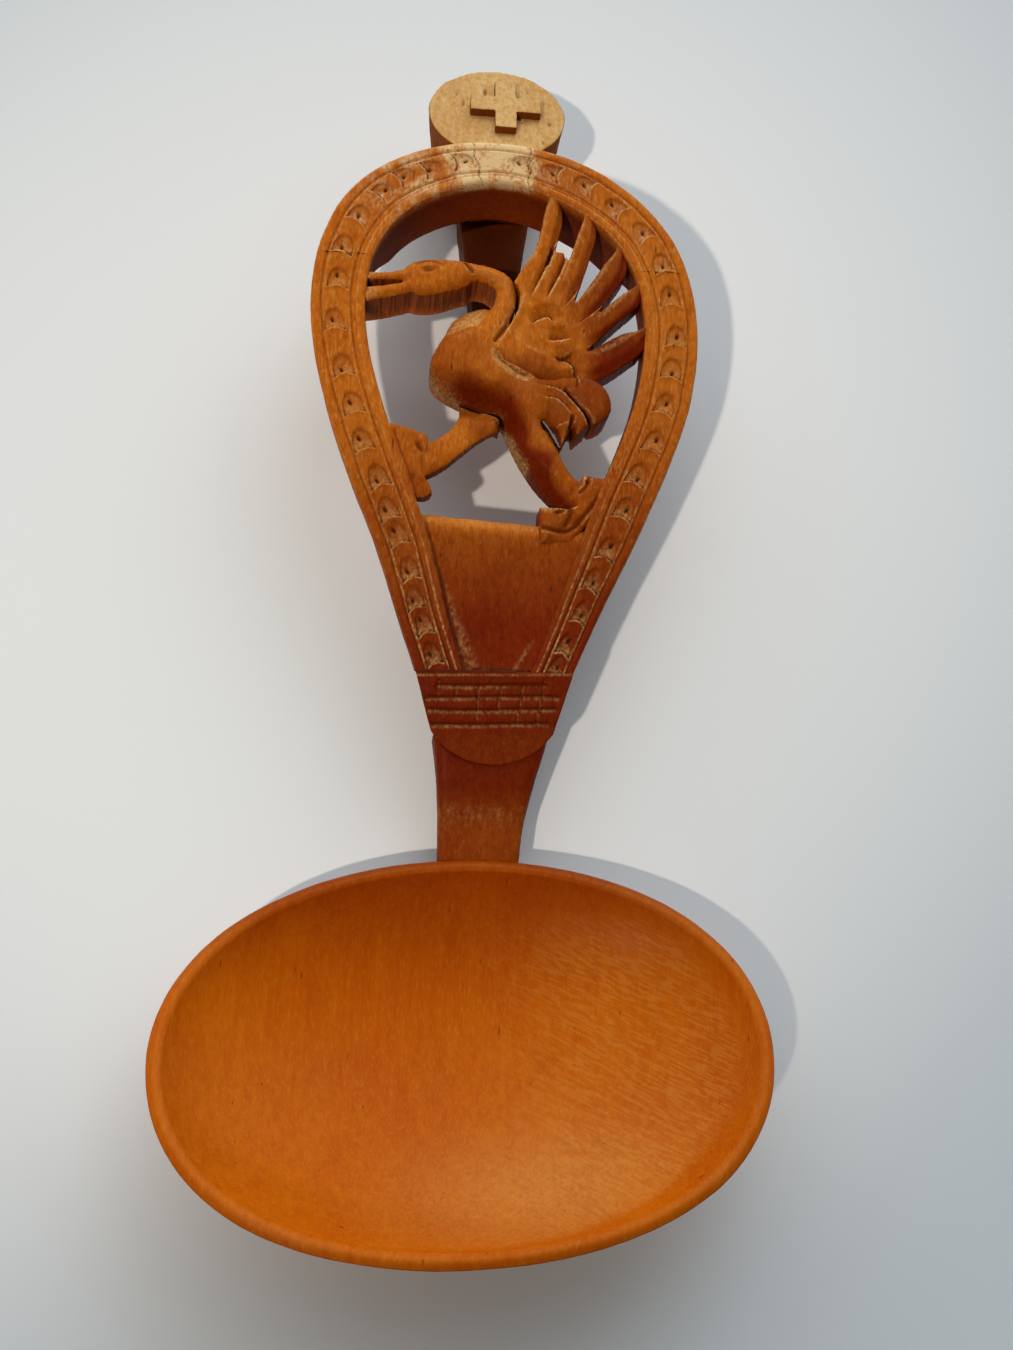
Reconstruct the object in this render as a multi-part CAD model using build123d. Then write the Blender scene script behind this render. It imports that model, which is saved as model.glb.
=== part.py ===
from build123d import *
import os
from math import cos, radians, sin, sqrt

os.makedirs("parts", exist_ok=True)

# A carved Alpine cream spoon lying on its back, in millimetres.
# The origin is the middle of the flat under the bowl, on the table.
# +X is right, +Y runs from the bowl to the hook, +Z is up.

# Bowl: a shallow oval cap, wider than it is long, with its front rim tipped up
bowl_width = 91.8
bowl_length = 61.2
bowl_depth = 16.2
bowl_wall = 2.3
bowl_floor = 3.4
bowl_tilt = 18.0
bowl_skew = 4.7
bowl_flare = 6.0
rest_cut = 0.6

# Handle: a plate that slopes up from a brick band, with a slight lean
band_reach = 56.9
handle_height = 18.0
handle_offset = 2.5
handle_lean = 1.4
plate_slope = 7.0
plate_depth = 6.5

# Neck between the bowl and the band
neck_slope = 25.0
neck_top_width = 18.6
neck_waist_width = 14.8
neck_foot_width = 12.8
neck_top_depth = 7.6
neck_foot_depth = 5.0
neck_foot_height = 5.9
neck_shift = -1.5
neck_setback = 0.8
neck_bury = 9.0

# Brick band with a rounded apron
band_width = 25.0
band_waist_width = 19.4
band_side = 9.8
band_apron = 5.2
band_depth = 9.0
band_rise = 0.4

# Open frame: two rails and a thick crown around the bird
frame_width = 64.2
frame_height = 91.2
rail_width = 8.6
crown_height = 22.2
crown_depth = 12.5
crown_taper = 9.0
sill_left = 26.0
sill_right = 21.6
panel_recess = 1.6

# Bird, carved through the plate inside the opening
bird_depth = 9.0
wing_rise = 0.8
foot_rise = 0.5

# Hook behind the crown, with a round knob and a tail
knob_diameter = 24.0
knob_foot_diameter = 18.0
knob_gap = 4.5
knob_height = 16.5
knob_tilt = 14.0
knob_shift = -1.0
arm_width = 13.0
tail_width = 13.0
tail_tip_width = 7.0
tail_height = 7.0
tail_length = 24.0
cross_span = 13.4
cross_arm = 4.6
cross_rise = 1.6
cross_shift = 1.5
cross_lift = 2.2

# Larger than any piece, for trimming
beyond = bowl_width + frame_height


# The bowl's outer skin is an ellipsoid whose middle lies above the rim plane
skin_drop = bowl_depth + bowl_flare
rim_share = sqrt(1 - (bowl_flare / skin_drop) ** 2)
skin_x = bowl_width / 2 / rim_share
skin_y = bowl_length / 2 / rim_share
tilt_sin = sin(radians(bowl_tilt))
tilt_cos = cos(radians(bowl_tilt))
skin_fall = sqrt((skin_y * tilt_sin) ** 2 + (skin_drop * tilt_cos) ** 2)
rim_height = skin_fall - rest_cut - bowl_flare * tilt_cos
low_point = (skin_y ** 2 - skin_drop ** 2) * tilt_sin * tilt_cos / skin_fall
rest_shift = low_point * (1 - rest_cut / skin_fall)
rim_y = -(bowl_flare * tilt_sin + rest_shift)
band_y = rim_y + band_reach

bowl_place = Pos(0, rim_y, rim_height) * Rot(X=-bowl_tilt) * Rot(Z=bowl_skew)
handle_base = Pos(handle_offset, band_y, handle_height)
handle_place = handle_base * Rot(X=plate_slope) * Rot(Z=handle_lean)
band_place = handle_base * Rot(X=neck_slope) * Rot(Z=handle_lean)
table_place = Pos(handle_offset, band_y, 0) * Rot(Z=handle_lean)

below_table = Pos(0, 0, -beyond / 2) * Box(4 * beyond, 4 * beyond, beyond)

pieces = {}


def egg(side, floor):
    shape = scale(Sphere(1), by=(skin_x - side, skin_y - side, skin_drop - floor))
    return Pos(0, 0, bowl_flare) * shape


# Bowl
over_rim = Pos(0, 0, beyond / 2) * Box(2 * beyond, 2 * beyond, beyond)
bowl_skin = bowl_place * (egg(0, 0) - over_rim) - below_table
pieces["bowl"] = bowl_skin - bowl_place * egg(bowl_wall, bowl_floor)


# Band, trimmed square to the plate where the rails and the panel stand on it
past_band = handle_place * Pos(0, beyond / 2, 0) * Box(beyond, beyond, beyond)
band_half = band_width / 2
waist_half = band_waist_width / 2
band_sides = Polyline(
    (-waist_half, -band_side),
    (-band_half, 0),
    (-band_half, band_depth),
    (band_half, band_depth),
    (band_half, 0),
    (waist_half, -band_side),
)
apron = ThreePointArc(
    (waist_half, -band_side),
    (0, -band_side - band_apron),
    (-waist_half, -band_side),
)
band_face = make_face([*band_sides.edges(), apron])
band_block = extrude(Pos(0, 0, band_rise - band_depth) * band_face, amount=band_depth)
pieces["brick_band"] = band_place * band_block - past_band


# Neck: a stem that tapers down from inside the band's apron to the outside of the bowl
slope_sin = sin(radians(neck_slope))
slope_cos = cos(radians(neck_slope))
neck_start = band_side * slope_cos
neck_top_height = handle_height - band_side * slope_sin - neck_setback
neck_end = band_reach - bowl_length / 2 * tilt_cos
neck_middle = (neck_start + neck_end) / 2
neck_waist_height = (neck_top_height + neck_foot_height) / 2
neck_waist_depth = (neck_top_depth + neck_foot_depth) / 2
neck_stations = (
    (neck_start, neck_top_height, neck_top_width, neck_top_depth, 0),
    (neck_middle, neck_waist_height, neck_waist_width, neck_waist_depth, neck_shift / 2),
    (neck_end, neck_foot_height, neck_foot_width, neck_foot_depth, neck_shift),
    (neck_end + neck_bury, neck_foot_height, neck_foot_width, neck_foot_depth, neck_shift),
)
neck_sections = []
for reach, height, width, depth, shift in neck_stations:
    section_plane = Plane(origin=(shift, -reach, height - depth / 2), x_dir=(1, 0, 0), z_dir=(0, 1, 0))
    neck_sections.append(section_plane * RectangleRounded(width, depth, depth / 4))
neck_stem = table_place * loft(neck_sections)
bowl_body = bowl_place * egg(0, 0)
pieces["neck"] = neck_stem - bowl_body - pieces["brick_band"]


# Frame outline, drawn as shares of its half width and its height
frame_half = frame_width / 2
crown_start = frame_height - crown_height
right_side = (
    (0.33, -0.055),
    (0.39, 0.0),
    (0.64, 0.22),
    (0.89, 0.44),
    (1.0, 0.66),
    (0.9, 0.82),
    (0.66, 0.925),
)
right_points = [(u * frame_half, v * frame_height) for u, v in right_side]
left_points = [(-u, v) for u, v in right_points]
frame_edge = Spline(*left_points, (0, frame_height), *reversed(right_points))
frame_foot = Line(right_points[0], left_points[0])
frame_face = make_face([frame_edge, frame_foot])

# The opening's edge keeps one rail width from the frame's edge all the way round
edge_steps = 24
inner_points = []
for step in range(edge_steps + 1):
    share = step / edge_steps
    inward = (frame_edge % share).rotate(Axis.Z, -90)
    inner_points.append(frame_edge @ share + inward * rail_width)
opening_edge = Spline(*inner_points)
opening_foot = Line(inner_points[-1], inner_points[0])
opening_face = make_face([opening_edge, opening_foot])
ring = frame_face - opening_face
left_under_crown = Pos(-beyond / 2, crown_start / 2) * Rectangle(beyond, crown_start)
right_under_crown = Pos(beyond / 2, crown_start / 2) * Rectangle(beyond, crown_start)
over_crown = Pos(0, crown_start + beyond / 2) * Rectangle(2 * beyond, beyond)


# A slab of the plate, from its front face plus a rise down to a depth
def slab(face, depth, rise=0.0):
    return extrude(Pos(0, 0, -depth) * face, amount=depth + rise)


left_rail = slab(ring & left_under_crown, plate_depth)
right_rail = slab(ring & right_under_crown, plate_depth)
crown_block = slab(ring & over_crown, crown_depth)

# Behind, the crown thins down to the rails
taper_profile = Polyline(
    (crown_start, -plate_depth),
    (crown_start + crown_taper, -crown_depth),
    (crown_start, -crown_depth),
    close=True,
)
taper_cut = extrude(Plane.YZ * make_face(taper_profile.edges()), amount=frame_width, both=True)
crown = crown_block - taper_cut
rim_of_opening = [left_rail, right_rail, crown]

# Panel below the opening, with a slanted sill
opening_half = frame_half - rail_width
sill_middle = (sill_left + sill_right) / 2
below_sill = make_face(
    Polyline(
        (-frame_half, 0),
        (frame_half, 0),
        (frame_half, sill_right),
        (-frame_half, sill_left),
        close=True,
    ).edges()
)
panel_depth = plate_depth - panel_recess
panel_face = opening_face & below_sill
panel = Pos(0, 0, -panel_recess) * slab(panel_face, panel_depth)


# The bird is drawn on a grid over the opening: 100 squares to each side of the middle, 250 up
grid_u = opening_half / 100
grid_v = (frame_height - rail_width - sill_middle) / 250


def on_grid(point):
    u, v = point
    return (u * grid_u, sill_middle + v * grid_v)


# Each stroke runs on from the one before: one point is a straight cut, more are a curve
def outline(start, *strokes):
    edges = []
    here = start
    for stroke in strokes:
        points = [on_grid(point) for point in (here, *stroke)]
        if len(points) > 2:
            edges.append(Spline(*points))
        else:
            edges.append(Line(*points))
        here = stroke[-1]
    edges.append(Line(on_grid(here), on_grid(start)))
    return make_face(edges)


# A bird piece, cut back to the pieces that it grows from
def carve(face, neighbours, depth=bird_depth, rise=0.0):
    shape = slab(face, depth, rise)
    for neighbour in neighbours:
        shape = shape - neighbour
    return shape


body_face = outline(
    (-5, 136),
    [(-25, 141), (-48, 126), (-52, 106), (-31, 90), (-3, 76)],
    [(12, 74), (26, 72)],
    [(30, 86), (26, 102)],
    [(14, 110), (-1, 116)],
)
bird_body = carve(body_face, [])

neck_face = outline(
    (-30, 138),
    [(-13, 147), (-3, 161), (-13, 173), (-30, 171)],
    [(-28, 189)],
    [(-14, 187), (4, 177), (7, 163), (2, 143), (-6, 126)],
)
bird_neck = carve(neck_face, [bird_body])

head_face = outline(
    (-28, 190),
    [(-40, 190), (-56, 189), (-67, 186), (-74, 178)],
    [(-70, 164)],
    [(-54, 162), (-41, 166), (-27, 171)],
)
bird_head = carve(head_face, [bird_neck])

upper_beak_face = outline((-70, 181), [(-86, 177), (-110, 177)], [(-110, 170)], [(-90, 171), (-68, 173)])
upper_beak = carve(upper_beak_face, [bird_head, *rim_of_opening])

lower_beak_face = outline((-66, 172), [(-84, 168), (-110, 163)], [(-110, 153)], [(-88, 157), (-66, 164)])
lower_beak = carve(lower_beak_face, [bird_head, upper_beak, *rim_of_opening])

shoulder_face = outline(
    (13, 166),
    [(8, 148), (-7, 126)],
    [(3, 114), (25, 104), (52, 106)],
    [(56, 124), (57, 142), (46, 161), (25, 172)],
)
wing_shoulder = carve(shoulder_face, [bird_body, bird_neck], rise=wing_rise)

wing_root = [bird_body, bird_neck, wing_shoulder, *rim_of_opening]
feather_faces = (
    outline((4, 176), [(15, 193), (23, 217), (26, 256)], [(41, 256)], [(38, 222), (30, 192), (22, 164)]),
    outline((38, 158), [(42, 190), (50, 218), (54, 245)], [(69, 240)], [(60, 204), (45, 158)]),
    outline((44, 156), [(60, 180), (72, 200), (82, 222)], [(96, 208)], [(77, 176), (52, 142)]),
    outline((46, 138), [(72, 163), (86, 176), (105, 195)], [(112, 182)], [(89, 161), (54, 126)]),
    outline((46, 121), [(65, 132), (87, 145), (114, 154)], [(116, 138)], [(82, 119), (58, 105), (46, 104)]),
)
feathers = []
for face in feather_faces:
    feathers.append(carve(face, [*wing_root, *feathers], rise=wing_rise / 2))

short_face = outline((26, 176), [(30, 192), (33, 203)], [(40, 203)], [(44, 190), (43, 160)], [(26, 160)])
short_feather = carve(short_face, [wing_shoulder, feathers[0], feathers[1]])

tail_root = [bird_body, wing_shoulder, feathers[4]]
plume_faces = (
    outline((24, 104), [(54, 106), (70, 97), (75, 86), (62, 70)], [(54, 82), (45, 92), (24, 99)]),
    outline((24, 103), [(48, 94), (57, 83), (59, 69)], [(50, 61)], [(44, 78), (24, 90)]),
    outline((22, 94), [(36, 86), (48, 70)], [(40, 54)], [(33, 72), (22, 78)]),
)
tail_plumes = []
for face in plume_faces:
    tail_plumes.append(carve(face, [*tail_root, *tail_plumes]))

front_foot_face = outline(
    (-84, 66),
    [(-68, 63), (-53, 58)],
    [(-52, 50)],
    [(-56, 38), (-51, 24)],
    [(-49, 18), (-54, 14)],
    [(-66, 14)],
)
front_foot = carve(front_foot_face, rim_of_opening, plate_depth, foot_rise)

front_leg_face = outline(
    (-31, 92),
    [(-31, 76), (-51, 53)],
    [(-60, 44)],
    [(-58, 28)],
    [(-50, 31), (-23, 53), (-3, 66)],
    [(-2, 84)],
)
front_leg = carve(front_leg_face, [bird_body, front_foot], plate_depth)

rear_foot_face = outline(
    (22, 12),
    [(36, 15), (54, 36)],
    [(82, 33)],
    [(80, 22)],
    [(60, 6), (44, -12)],
    [(22, -12)],
)
rear_foot = carve(rear_foot_face, [right_rail, panel], plate_depth, foot_rise)

rear_leg_face = outline(
    (-2, 80),
    [(5, 63), (17, 38), (36, 16)],
    [(40, 8)],
    [(54, 28)],
    [(42, 42), (34, 62), (26, 82)],
)
rear_leg = carve(rear_leg_face, [bird_body, rear_foot, tail_plumes[2]], plate_depth)

handle_pieces = {
    "left_rail": left_rail,
    "right_rail": right_rail,
    "crown": crown,
    "panel": panel,
    "bird_body": bird_body,
    "bird_neck": bird_neck,
    "bird_head": bird_head,
    "upper_beak": upper_beak,
    "lower_beak": lower_beak,
    "wing_shoulder": wing_shoulder,
    "short_feather": short_feather,
    "front_leg": front_leg,
    "front_foot": front_foot,
    "rear_leg": rear_leg,
    "rear_foot": rear_foot,
}
for number, feather in enumerate(feathers, 1):
    handle_pieces[f"wing_feather_{number}"] = feather
for number, plume in enumerate(tail_plumes, 1):
    handle_pieces[f"tail_plume_{number}"] = plume
for name, shape in handle_pieces.items():
    pieces[name] = handle_place * shape


# Hook: a round knob behind the crown, an arm that ties it on, and a tail under the crown
knob_radius = knob_diameter / 2
throat_end = frame_height * cos(radians(plate_slope))
knob_reach = throat_end + knob_gap + knob_radius
knob_drop = knob_height / cos(radians(knob_tilt)) + knob_radius
knob_place = table_place * Pos(knob_shift, knob_reach, knob_height) * Rot(X=-knob_tilt)
knob_drum = Pos(0, 0, -knob_drop / 2) * Cone(knob_foot_diameter / 2, knob_radius, knob_drop)
pieces["hook_knob"] = knob_place * knob_drum - below_table

cross_face = Rectangle(cross_span, cross_arm) + Rectangle(cross_arm, cross_span)
pieces["knob_cross"] = knob_place * Pos(cross_shift, cross_lift, 0) * extrude(cross_face, amount=cross_rise)

arm_run = knob_reach - throat_end
arm_rise = knob_height + knob_radius - tail_height
arm_block = Pos(0, throat_end + arm_run / 2, tail_height + arm_rise / 2) * Box(arm_width, arm_run, arm_rise)
over_knob = knob_place * Pos(0, 0, beyond / 2) * Box(beyond, beyond, beyond)
arm_stock = table_place * Pos(knob_shift, 0, 0) * arm_block - over_knob
pieces["hook_arm"] = arm_stock - pieces["crown"] - pieces["hook_knob"]

tail_end = throat_end - tail_length
tail_half = tail_width / 2
tip_half = tail_tip_width / 2
tail_sides = Polyline(
    (-tip_half, tail_end + tip_half),
    (-tail_half, throat_end),
    (-tail_half, knob_reach),
    (tail_half, knob_reach),
    (tail_half, throat_end),
    (tip_half, tail_end + tip_half),
)
tail_tip = ThreePointArc(
    (tip_half, tail_end + tip_half),
    (0, tail_end),
    (-tip_half, tail_end + tip_half),
)
tail_face = make_face([*tail_sides.edges(), tail_tip])
tail_block = table_place * Pos(knob_shift, 0, 0) * extrude(tail_face, amount=tail_height)
pieces["hook_tail"] = tail_block - pieces["hook_knob"]

for name, shape in pieces.items():
    export_step(shape, f"parts/{name}.step")
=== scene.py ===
import bpy
import numpy as np
from math import pi, radians
from mathutils import Matrix, Vector, noise
from mathutils.kdtree import KDTree


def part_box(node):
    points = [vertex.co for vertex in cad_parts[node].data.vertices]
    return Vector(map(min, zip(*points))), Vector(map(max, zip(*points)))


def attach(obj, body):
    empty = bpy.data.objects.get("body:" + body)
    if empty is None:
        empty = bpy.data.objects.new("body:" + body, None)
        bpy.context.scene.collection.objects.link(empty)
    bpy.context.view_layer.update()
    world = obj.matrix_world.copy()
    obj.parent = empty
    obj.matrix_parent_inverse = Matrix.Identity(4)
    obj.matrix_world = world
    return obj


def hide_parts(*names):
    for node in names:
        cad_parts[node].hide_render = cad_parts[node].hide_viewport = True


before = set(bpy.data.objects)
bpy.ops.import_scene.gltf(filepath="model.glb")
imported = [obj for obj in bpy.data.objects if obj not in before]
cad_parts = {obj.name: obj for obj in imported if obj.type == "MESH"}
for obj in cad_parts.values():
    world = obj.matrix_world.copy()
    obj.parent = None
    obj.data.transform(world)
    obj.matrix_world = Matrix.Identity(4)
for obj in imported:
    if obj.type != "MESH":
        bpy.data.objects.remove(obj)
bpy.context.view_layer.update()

mm = 0.001

# Lengths are in millimetres until they are written to a mesh


def placing(spot, slope=0.0, lean=0.0):
    turn = Matrix.Rotation(radians(slope), 3, "X") @ Matrix.Rotation(radians(lean), 3, "Z")
    return np.array(spot), np.array(turn)


def toLocal(coords, place):
    return (coords - place[0]) @ place[1]


def toWorld(coords, place):
    return coords @ place[1].T + place[0]


handleSpot = (2.5, 48.685, 18.0)
handlePlace = placing(handleSpot, 7.0, 1.4)  # the plate's front face is height 0
bandPlace = placing(handleSpot, 25.0, 1.4)
bowlPlace = placing((0.0, -8.215, 16.98), -18.0, 4.7)  # the rim is height 0


# Hand tools for meshes

def pick(piece):
    bpy.ops.object.select_all(action="DESELECT")
    piece.select_set(True)
    bpy.context.view_layer.objects.active = piece


def startEdit(piece):
    pick(piece)
    bpy.ops.object.mode_set(mode="EDIT")
    bpy.ops.mesh.select_all(action="SELECT")


def endEdit():
    bpy.ops.object.mode_set(mode="OBJECT")


def applyModifier(piece, kind, **settings):
    pick(piece)
    modifier = piece.modifiers.new(kind.lower(), kind)
    for key, value in settings.items():
        setattr(modifier, key, value)
    bpy.ops.object.modifier_apply(modifier=modifier.name)


def readCoords(piece):
    flat = np.empty(len(piece.data.vertices) * 3)
    piece.data.vertices.foreach_get("co", flat)
    return flat.reshape(-1, 3) / mm


def writeCoords(piece, coords):
    piece.data.vertices.foreach_set("co", (coords * mm).ravel())
    piece.data.update()


def readLocal(piece, place=handlePlace):
    return toLocal(readCoords(piece), place)


def writeLocal(piece, local, place=handlePlace):
    writeCoords(piece, toWorld(local, place))


def readNormals(piece):
    flat = np.empty(len(piece.data.vertices) * 3)
    piece.data.vertex_normals.foreach_get("vector", flat)
    return flat.reshape(-1, 3)


def readEdges(piece):
    flat = np.empty(len(piece.data.edges) * 2, dtype=np.int32)
    piece.data.edges.foreach_get("vertices", flat)
    return flat.reshape(-1, 2)


def paint(piece, name, values):
    layer = piece.data.attributes.get(name)
    if layer is None:
        layer = piece.data.attributes.new(name, "FLOAT", "POINT")
    layer.data.foreach_set("value", np.clip(values, 0, 1).astype(np.float32))


def ramp(values, low, high):
    share = np.clip((values - low) / (high - low), 0, 1)
    return share * share * (3 - 2 * share)


def bell(values, middle, width):
    return np.exp(-((values - middle) / width) ** 2)


def strongest(*masks):
    return np.maximum.reduce(masks)


def roughness(coords, size, seed=0.0):
    shift = Vector((seed * 7.3, seed * 3.1, seed * 5.7))
    return np.array([noise.noise(Vector(c) / size + shift) for c in coords])


def waviness(coords, waves):
    # each wave: its height, length and seed
    return sum(height * roughness(coords, length, seed) for height, length, seed in waves)[:, None]


def softened(values, edges, rounds):
    count = len(values)
    degree = np.maximum(np.bincount(edges.ravel(), minlength=count), 1)
    for _ in range(rounds):
        total = np.bincount(edges[:, 0], values[edges[:, 1]], count)
        total = total + np.bincount(edges[:, 1], values[edges[:, 0]], count)
        values = 0.5 * values + 0.5 * total / degree
    return values


def bulge(piece, rounds):
    # how far each point stands out of its softened surroundings
    coords = readCoords(piece)
    edges = readEdges(piece)
    soft = np.stack([softened(coords[:, axis], edges, rounds) for axis in range(3)], axis=1)
    return ((coords - soft) * readNormals(piece)).sum(axis=1)


def readPaint(piece, name):
    values = np.zeros(len(piece.data.vertices), dtype=np.float32)
    piece.data.attributes[name].data.foreach_get("value", values)
    return values


def joined(pieces):
    bpy.ops.object.select_all(action="DESELECT")
    for piece in pieces:
        piece.select_set(True)
    bpy.context.view_layer.objects.active = pieces[0]
    if len(pieces) > 1:
        bpy.ops.object.join()
    return bpy.context.view_layer.objects.active


def copyNodes(name, nodes):
    copies = []
    for node in nodes:
        copy = bpy.data.objects.new(name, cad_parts[node].data.copy())
        bpy.context.collection.objects.link(copy)
        copies.append(copy)
    piece = joined(copies)
    piece.data.materials.clear()
    startEdit(piece)
    bpy.ops.mesh.remove_doubles(threshold=0.005 * mm)
    endEdit()
    return piece


def remesh(piece, voxel):
    applyModifier(piece, "REMESH", mode="VOXEL", voxel_size=voxel * mm)


def smooth(piece, rounds):
    applyModifier(piece, "SMOOTH", factor=0.5, iterations=rounds)


def carvingStock(name, nodes, voxel, smoothing, gap=None):
    piece = copyNodes(name, nodes)
    remesh(piece, voxel)
    if gap:
        applyModifier(piece, "BOOLEAN", operation="DIFFERENCE", solver="MANIFOLD", object=gap)
        bpy.data.objects.remove(gap)
        remesh(piece, voxel)
    smooth(piece, smoothing)
    return piece


def formedGrid(name, countA, countB, form, dress=None):
    # dress paints the grid while its points are still in rows
    bpy.ops.object.select_all(action="DESELECT")
    bpy.ops.mesh.primitive_grid_add(x_subdivisions=countA, y_subdivisions=countB, size=2)
    piece = bpy.context.object
    piece.name = name
    flat = readCoords(piece) * mm
    writeCoords(piece, form((flat[:, 0] + 1) / 2, (flat[:, 1] + 1) / 2))
    if dress:
        dress(piece)
    startEdit(piece)
    bpy.ops.mesh.remove_doubles(threshold=0.003 * mm)
    bpy.ops.mesh.normals_make_consistent(inside=False)
    endEdit()
    return piece


def handIn(piece, nodes, material, crease=None):
    pick(piece)
    if crease:
        bpy.ops.object.shade_smooth_by_angle(angle=radians(crease))
    else:
        bpy.ops.object.shade_smooth()
    piece.data.name = piece.name
    piece.data.materials.clear()
    piece.data.materials.append(material)
    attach(piece, "root")
    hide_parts(*nodes)


# Lines on the bird are drawn on its grid: 100 squares to each side, 250 up
gridSquare = 0.235
sillMiddle = 23.8


def onGrid(points):
    points = np.array(points, float)
    return points * gridSquare + np.array((0.0, sillMiddle))


def gridRamp(local, axis, low, high):
    return ramp(local[:, axis], *onGrid([(low, low), (high, high)])[:, axis])


def smoothLine(points, count):
    # natural cubic curve through the points, evenly sampled
    points = np.array(points, float)
    gaps = np.hypot(*np.diff(points, axis=0).T)
    knots = np.concatenate(([0.0], np.cumsum(gaps)))
    last = len(points) - 1
    system = np.eye(last + 1)
    right = np.zeros((last + 1, 2))
    for i in range(1, last):
        system[i, i - 1:i + 2] = gaps[i - 1], 2 * (gaps[i - 1] + gaps[i]), gaps[i]
        ahead = (points[i + 1] - points[i]) / gaps[i]
        behind = (points[i] - points[i - 1]) / gaps[i - 1]
        right[i] = 6 * (ahead - behind)
    bends = np.linalg.solve(system, right)
    spots = np.linspace(0, knots[-1], 8 * count)
    i = np.clip(np.searchsorted(knots, spots, side="right") - 1, 0, last - 1)
    gap = gaps[i][:, None]
    toNext = (knots[i + 1] - spots)[:, None]
    fromLast = (spots - knots[i])[:, None]
    curve = (bends[i] * toNext ** 3 + bends[i + 1] * fromLast ** 3) / (6 * gap)
    curve += (points[i] / gap - bends[i] * gap / 6) * toNext
    curve += (points[i + 1] / gap - bends[i + 1] * gap / 6) * fromLast
    length = np.concatenate(([0.0], np.cumsum(np.hypot(*np.diff(curve, axis=0).T))))
    even = np.linspace(0, length[-1], count)
    return np.stack([np.interp(even, length, curve[:, axis]) for axis in range(2)], axis=1)


def lineDistance(flat, line):
    # distance to a drawn line, on which side of it each point lies and how far along
    tree = KDTree(len(line))
    for index, point in enumerate(line):
        tree.insert((point[0], point[1], 0.0), index)
    tree.balance()
    found = [tree.find((p[0], p[1], 0.0)) for p in flat]
    index = np.array([f[1] for f in found])
    distance = np.array([f[2] for f in found])
    heading = np.gradient(line, axis=0)[index]
    offset = flat - line[index]
    side = heading[:, 0] * offset[:, 1] - heading[:, 1] * offset[:, 0]
    return distance, np.sign(side), index / (len(line) - 1)


handleSway = {
    # height up the handle, and how far it lies to the right there
    "line": (
        (-30, -0.6), (0, -0.8), (8, -0.5), (20, 0.3), (45, 0.5), (58, 0.0), (66, -0.4), (74, -0.85),
        (84, -1.9), (92, -2.2),
    ),
    "crownDrop": 0.5,
    "dropOver": (75, 91),
}


def swayed(local):
    heights, moves = np.array(handleSway["line"]).T
    local[:, 0] += np.interp(local[:, 1], heights, moves)
    local[:, 1] -= handleSway["crownDrop"] * ramp(local[:, 1], *handleSway["dropOver"])
    return local


def swayPiece(piece):
    writeLocal(piece, swayed(readLocal(piece)))


# Wood: one finish, with its own grain, patina and wear, and with painted highlights and painted shade

def newGroup(name, inputs, outputs):
    group = bpy.data.node_groups.new(name, "ShaderNodeTree")
    for label, kind in inputs:
        group.interface.new_socket(name=label, in_out="INPUT", socket_type=kind)
    for label, kind in outputs:
        group.interface.new_socket(name=label, in_out="OUTPUT", socket_type=kind)
    start = group.nodes.new("NodeGroupInput")
    end = group.nodes.new("NodeGroupOutput")
    return group, start, end


def addNode(tree, kind, **settings):
    node = tree.nodes.new(kind)
    for key, value in settings.items():
        setattr(node, key, value)
    return node


def join(tree, source, target):
    tree.links.new(source, target)


def noiseNode(tree, vector, stretch, detail=2.0, rough=0.5):
    mapping = addNode(tree, "ShaderNodeMapping")
    mapping.inputs["Scale"].default_value = stretch
    join(tree, vector, mapping.inputs["Vector"])
    texture = addNode(tree, "ShaderNodeTexNoise")
    texture.inputs["Scale"].default_value = 1.0
    texture.inputs["Detail"].default_value = detail
    texture.inputs["Roughness"].default_value = rough
    join(tree, mapping.outputs["Vector"], texture.inputs["Vector"])
    return texture.outputs["Fac"]


def rangeNode(tree, value, low, high, toLow=0.0, toHigh=1.0):
    node = addNode(tree, "ShaderNodeMapRange", interpolation_type="SMOOTHSTEP")
    node.inputs["From Min"].default_value = low
    node.inputs["From Max"].default_value = high
    node.inputs["To Min"].default_value = toLow
    node.inputs["To Max"].default_value = toHigh
    join(tree, value, node.inputs["Value"])
    return node.outputs["Result"]


def mathNode(tree, operation, first, second):
    node = addNode(tree, "ShaderNodeMath", operation=operation)
    for socket, value in zip(node.inputs, (first, second)):
        if isinstance(value, (int, float)):
            socket.default_value = value
        else:
            join(tree, value, socket)
    return node.outputs[0]


def mixNode(tree, factor, first, second, blend="MIX"):
    node = addNode(tree, "ShaderNodeMix", data_type="RGBA", blend_type=blend)
    for socket, value in ((node.inputs[0], factor), (node.inputs[6], first), (node.inputs[7], second)):
        if isinstance(value, (int, float, tuple)):
            socket.default_value = value
        else:
            join(tree, value, socket)
    return node.outputs[2]


# each layer of the grain: its stretch, detail, roughness and the range that shows
grainLayers = {
    "Fleck": ((3400, 620, 3400), 1.0, 0.5, (0.52, 0.72)),
    "Mottle": ((1300, 700, 1300), 3.0, 0.65, (0.42, 0.7)),
    "Pore": ((1500, 260, 1500), 0.0, 0.5, (0.83, 0.87)),
}


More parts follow.
